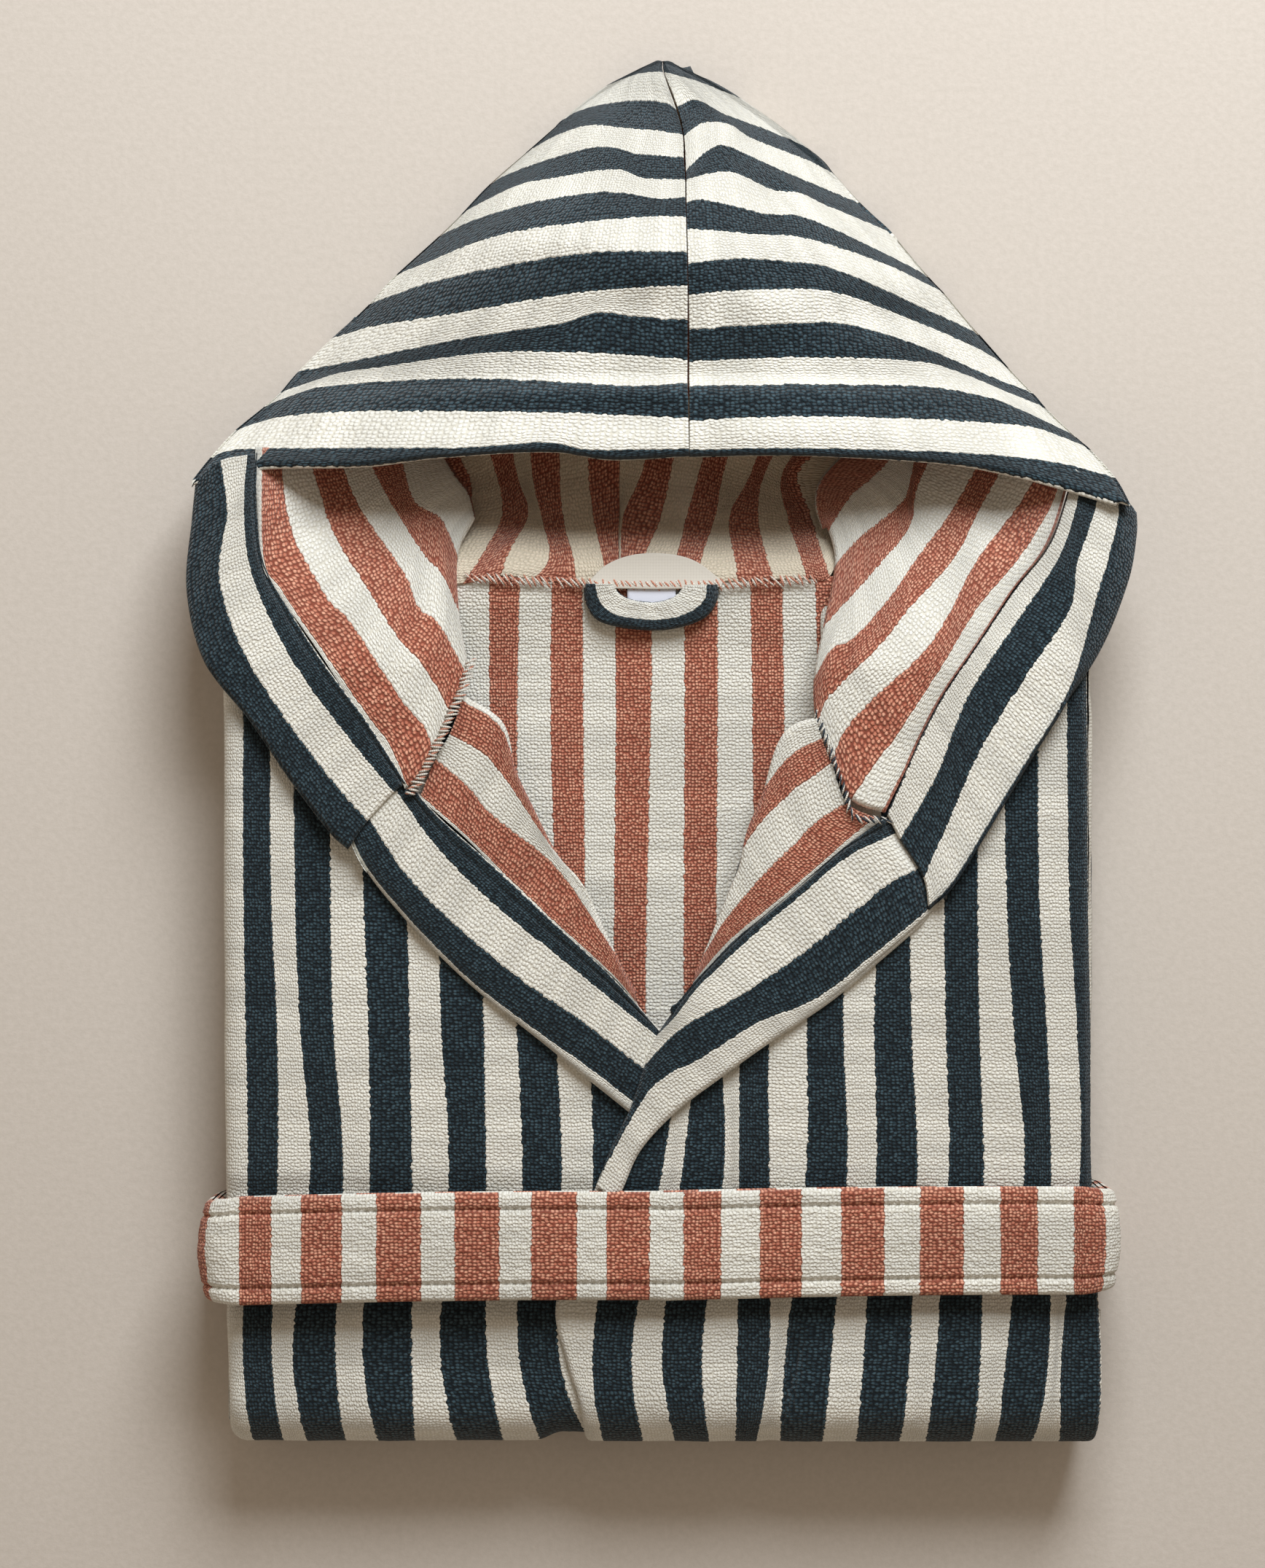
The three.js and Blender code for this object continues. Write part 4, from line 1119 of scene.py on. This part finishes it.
def brand_label():
    rails = [
        [(-26.5, 57.6), (-14, 57.2), (-3, 57.0), (8, 57.2), (20.8, 57.8)],
        [(-27.2, 59.2), (-20, 66.0), (-10, 69.6), (2, 69.8), (12, 67), (21.6, 59.6)],
    ]
    heights = lambda x, y, u, t: 39.6 - 0.2 * np.maximum(y - 58, 0)
    material = plain_cloth("woven_label_cloth", (0.66, 0.62, 0.55, 1), (0.54, 0.50, 0.43, 1), 900)
    piece = cloth("brand_label_blank", rails, heights, [material, material], thick=0.7,
                  edges=(0.3, 0.3, 0.3, 0.3), relief=0.02, spacing=0.8, seed=121)
    on_the_pack(piece, "brand_label")


def care_label():
    rails = [[(-12.8, 59.5), (-12.6, 46.5)], [(-4, 59.5), (-4, 46.2)], [(4.6, 59.5), (4.4, 46.5)]]
    material = plain_cloth("satin_tag_cloth", (0.76, 0.78, 0.86, 1), (0.68, 0.70, 0.80, 1), 1500, 0.45)
    piece = cloth("care_label_blank", rails, lambda x, y, u, t: 38.3 + 0.02 * (y - 46),
                  [material, material], thick=0.4, relief=0.0, spacing=1.0, seed=123)
    on_the_pack(piece, "care_label")


def belt_loop():
    rails = [[(157.2, -201.5), (157.2, -212)], [(154.6, -201.5), (154.6, -212)]]
    piece = cloth("belt_loop_cloth", rails, lambda x, y, u, t: 36 + 0 * x, OUTSIDE, u_first=0, thick=6,
                  edges=(1.2, 0, 1, 1), spacing=0.6, seed=141)
    on_the_pack(piece, "belt_loop_right")


# ------------------------------------------------------------------ build
front_panel_left()
front_panel_right()
folded_layers()
back_panel()
lapel_left()
front_band_left()
lapel_right()
front_band_right()
flap_left = hood_flap_left()
band_left = hood_band_left()
flap_right = hood_flap_right()
band_right = hood_band_right()
shell_l = shell_left()
shell_r = shell_right()
back_l = hood_back_left()
back_r = hood_back_right()
for piece, nodes in ((flap_left, ["hood_flap_left"]), (band_left, ["hood_band_left"]),
                     (flap_right, ["hood_flap_right"]), (band_right, ["hood_band_right"]),
                     (back_l, ["hood_back_left", "neck_seam"]), (back_r, ["hood_back_right"])):
    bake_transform(piece)
    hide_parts(*nodes)
for piece, nodes in ((shell_l, ["hood_front_left", "hood_hem", "hood_centre_seam"]),
                     (shell_r, ["hood_front_right"])):
    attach(piece, "hood")
    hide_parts(*nodes)
belt_wrap("belt_outer_cloth", "belt_outer_wrap", (-163.0, 160.4, 0.6, 55.4), 3.8, 131, 0.0)
belt_wrap("belt_inner_cloth", "belt_inner_wrap", (-160.8, 158.2, 4.6, 51.2), 3.4, 133, 0.6)
hanging_loop()
brand_label()
care_label()
belt_loop()
cream_thread = thread("cream_thread", (0.74, 0.70, 0.62, 1))
navy_thread = thread("navy_thread", (0.02, 0.035, 0.05, 1))
coral_thread = thread("coral_thread", (0.60, 0.26, 0.17, 1))
LEFT_SEAM = [(-68.6, 31, 47.5), (-71.5, 21, 49.0), (-75, 13, 49.5), (-82.3, -2.7, 49.8),
             (-87.8, -13, 49.8), (-90, -16, 49.6)]
RIGHT_SEAM = [(54.4, 12.5, 50.5), (60.0, -3.0, 52.6), (64.5, -16, 52.8), (68.0, -24.5, 52.8),
              (79.3, -25.5, 52.6)]
NECK_SEAM = [(-69, 61, 38.0), (-40, 59.6, 38.4), (-8, 58.6, 38.6), (24, 59, 38.5), (54, 60.6, 38.2)]
overlock("seam_left_cream", LEFT_SEAM, 4.2, 1.5, 0.42, cream_thread, 201)
overlock("seam_left_coral", LEFT_SEAM, 3.6, 2.9, 0.36, coral_thread, 202)
overlock("seam_right_navy", RIGHT_SEAM, 2.4, 2.4, 0.36, navy_thread, 203)
overlock("seam_right_cream", RIGHT_SEAM, 2.8, 2.9, 0.34, cream_thread, 204)
overlock("seam_neck_coral", NECK_SEAM, 4.4, 2.2, 0.36, coral_thread, 205)
overlock("seam_neck_cream", NECK_SEAM, 4.0, 2.6, 0.34, cream_thread, 206)


# ------------------------------------------------------------------ stage
FLOOR_HALF = 15.0
LENS = 103.0
SENSOR = 36.0
CAMERA_PLACE = (-0.0109, -0.0127, 1.645)
KEY_PLACE = (0.30, 1.22, 1.08)
KEY_SIZE = 0.85
KEY_POWER = 34.0
KEY_COLOUR = (0.95, 1.0, 1.05)
AMBIENT = (1.0, 0.83, 0.66, 1)
AMBIENT_STRENGTH = 0.35


def floor():
    mesh = bpy.data.meshes.new("floor")
    corners = [(-FLOOR_HALF, -FLOOR_HALF, 0), (FLOOR_HALF, -FLOOR_HALF, 0), (FLOOR_HALF, FLOOR_HALF, 0),
               (-FLOOR_HALF, FLOOR_HALF, 0)]
    mesh.from_pydata(corners, [], [(0, 1, 2, 3)])
    obj = bpy.data.objects.new("floor", mesh)
    bpy.context.scene.collection.objects.link(obj)
    n = Nodes("paper")
    where = n.add("TexCoord").outputs["Object"]
    fine = {"Vector": where, "Scale": 420.0, "Detail": 5.0, "Roughness": 0.7}
    grain = n.add("TexNoise", fine).outputs["Fac"]
    cloud = n.add("TexNoise", {"Vector": where, "Scale": 6.0, "Detail": 2.0}).outputs["Fac"]
    colour = n.mix(n.spread(grain, 0.3, 0.7), (0.575, 0.525, 0.465, 1), (0.625, 0.57, 0.51, 1))
    colour = n.mix(n.math("MULTIPLY", cloud, 0.12), colour, (0.52, 0.44, 0.36, 1))
    paper = n.finish(colour, n.bump(grain, 0.0003, 0.4), Roughness=0.9, Specular_IOR_Level=0.1)
    mesh.materials.append(paper)


def lights():
    def area(name, place, target, size, power, colour):
        data = bpy.data.lights.new(name, "AREA")
        data.size = size
        data.energy = power
        data.color = colour
        obj = bpy.data.objects.new(name, data)
        obj.location = place
        obj.rotation_euler = (Vector(target) - Vector(place)).to_track_quat("-Z", "Y").to_euler()
        bpy.context.scene.collection.objects.link(obj)

    area("key", KEY_PLACE, (0, 0, 0), KEY_SIZE, KEY_POWER, KEY_COLOUR)
    world = bpy.data.worlds.new("studio")
    world.use_nodes = True
    backdrop = world.node_tree.nodes["Background"]
    backdrop.inputs[0].default_value = AMBIENT
    backdrop.inputs[1].default_value = AMBIENT_STRENGTH
    bpy.context.scene.world = world


def camera():
    data = bpy.data.cameras.new("camera")
    data.lens = LENS
    data.sensor_width = SENSOR
    obj = bpy.data.objects.new("camera", data)
    obj.location = CAMERA_PLACE
    obj.rotation_euler = (0, 0, 0)
    bpy.context.scene.collection.objects.link(obj)
    bpy.context.scene.camera = obj


floor()
lights()
camera()
bpy.context.scene.view_settings.view_transform = "Standard"
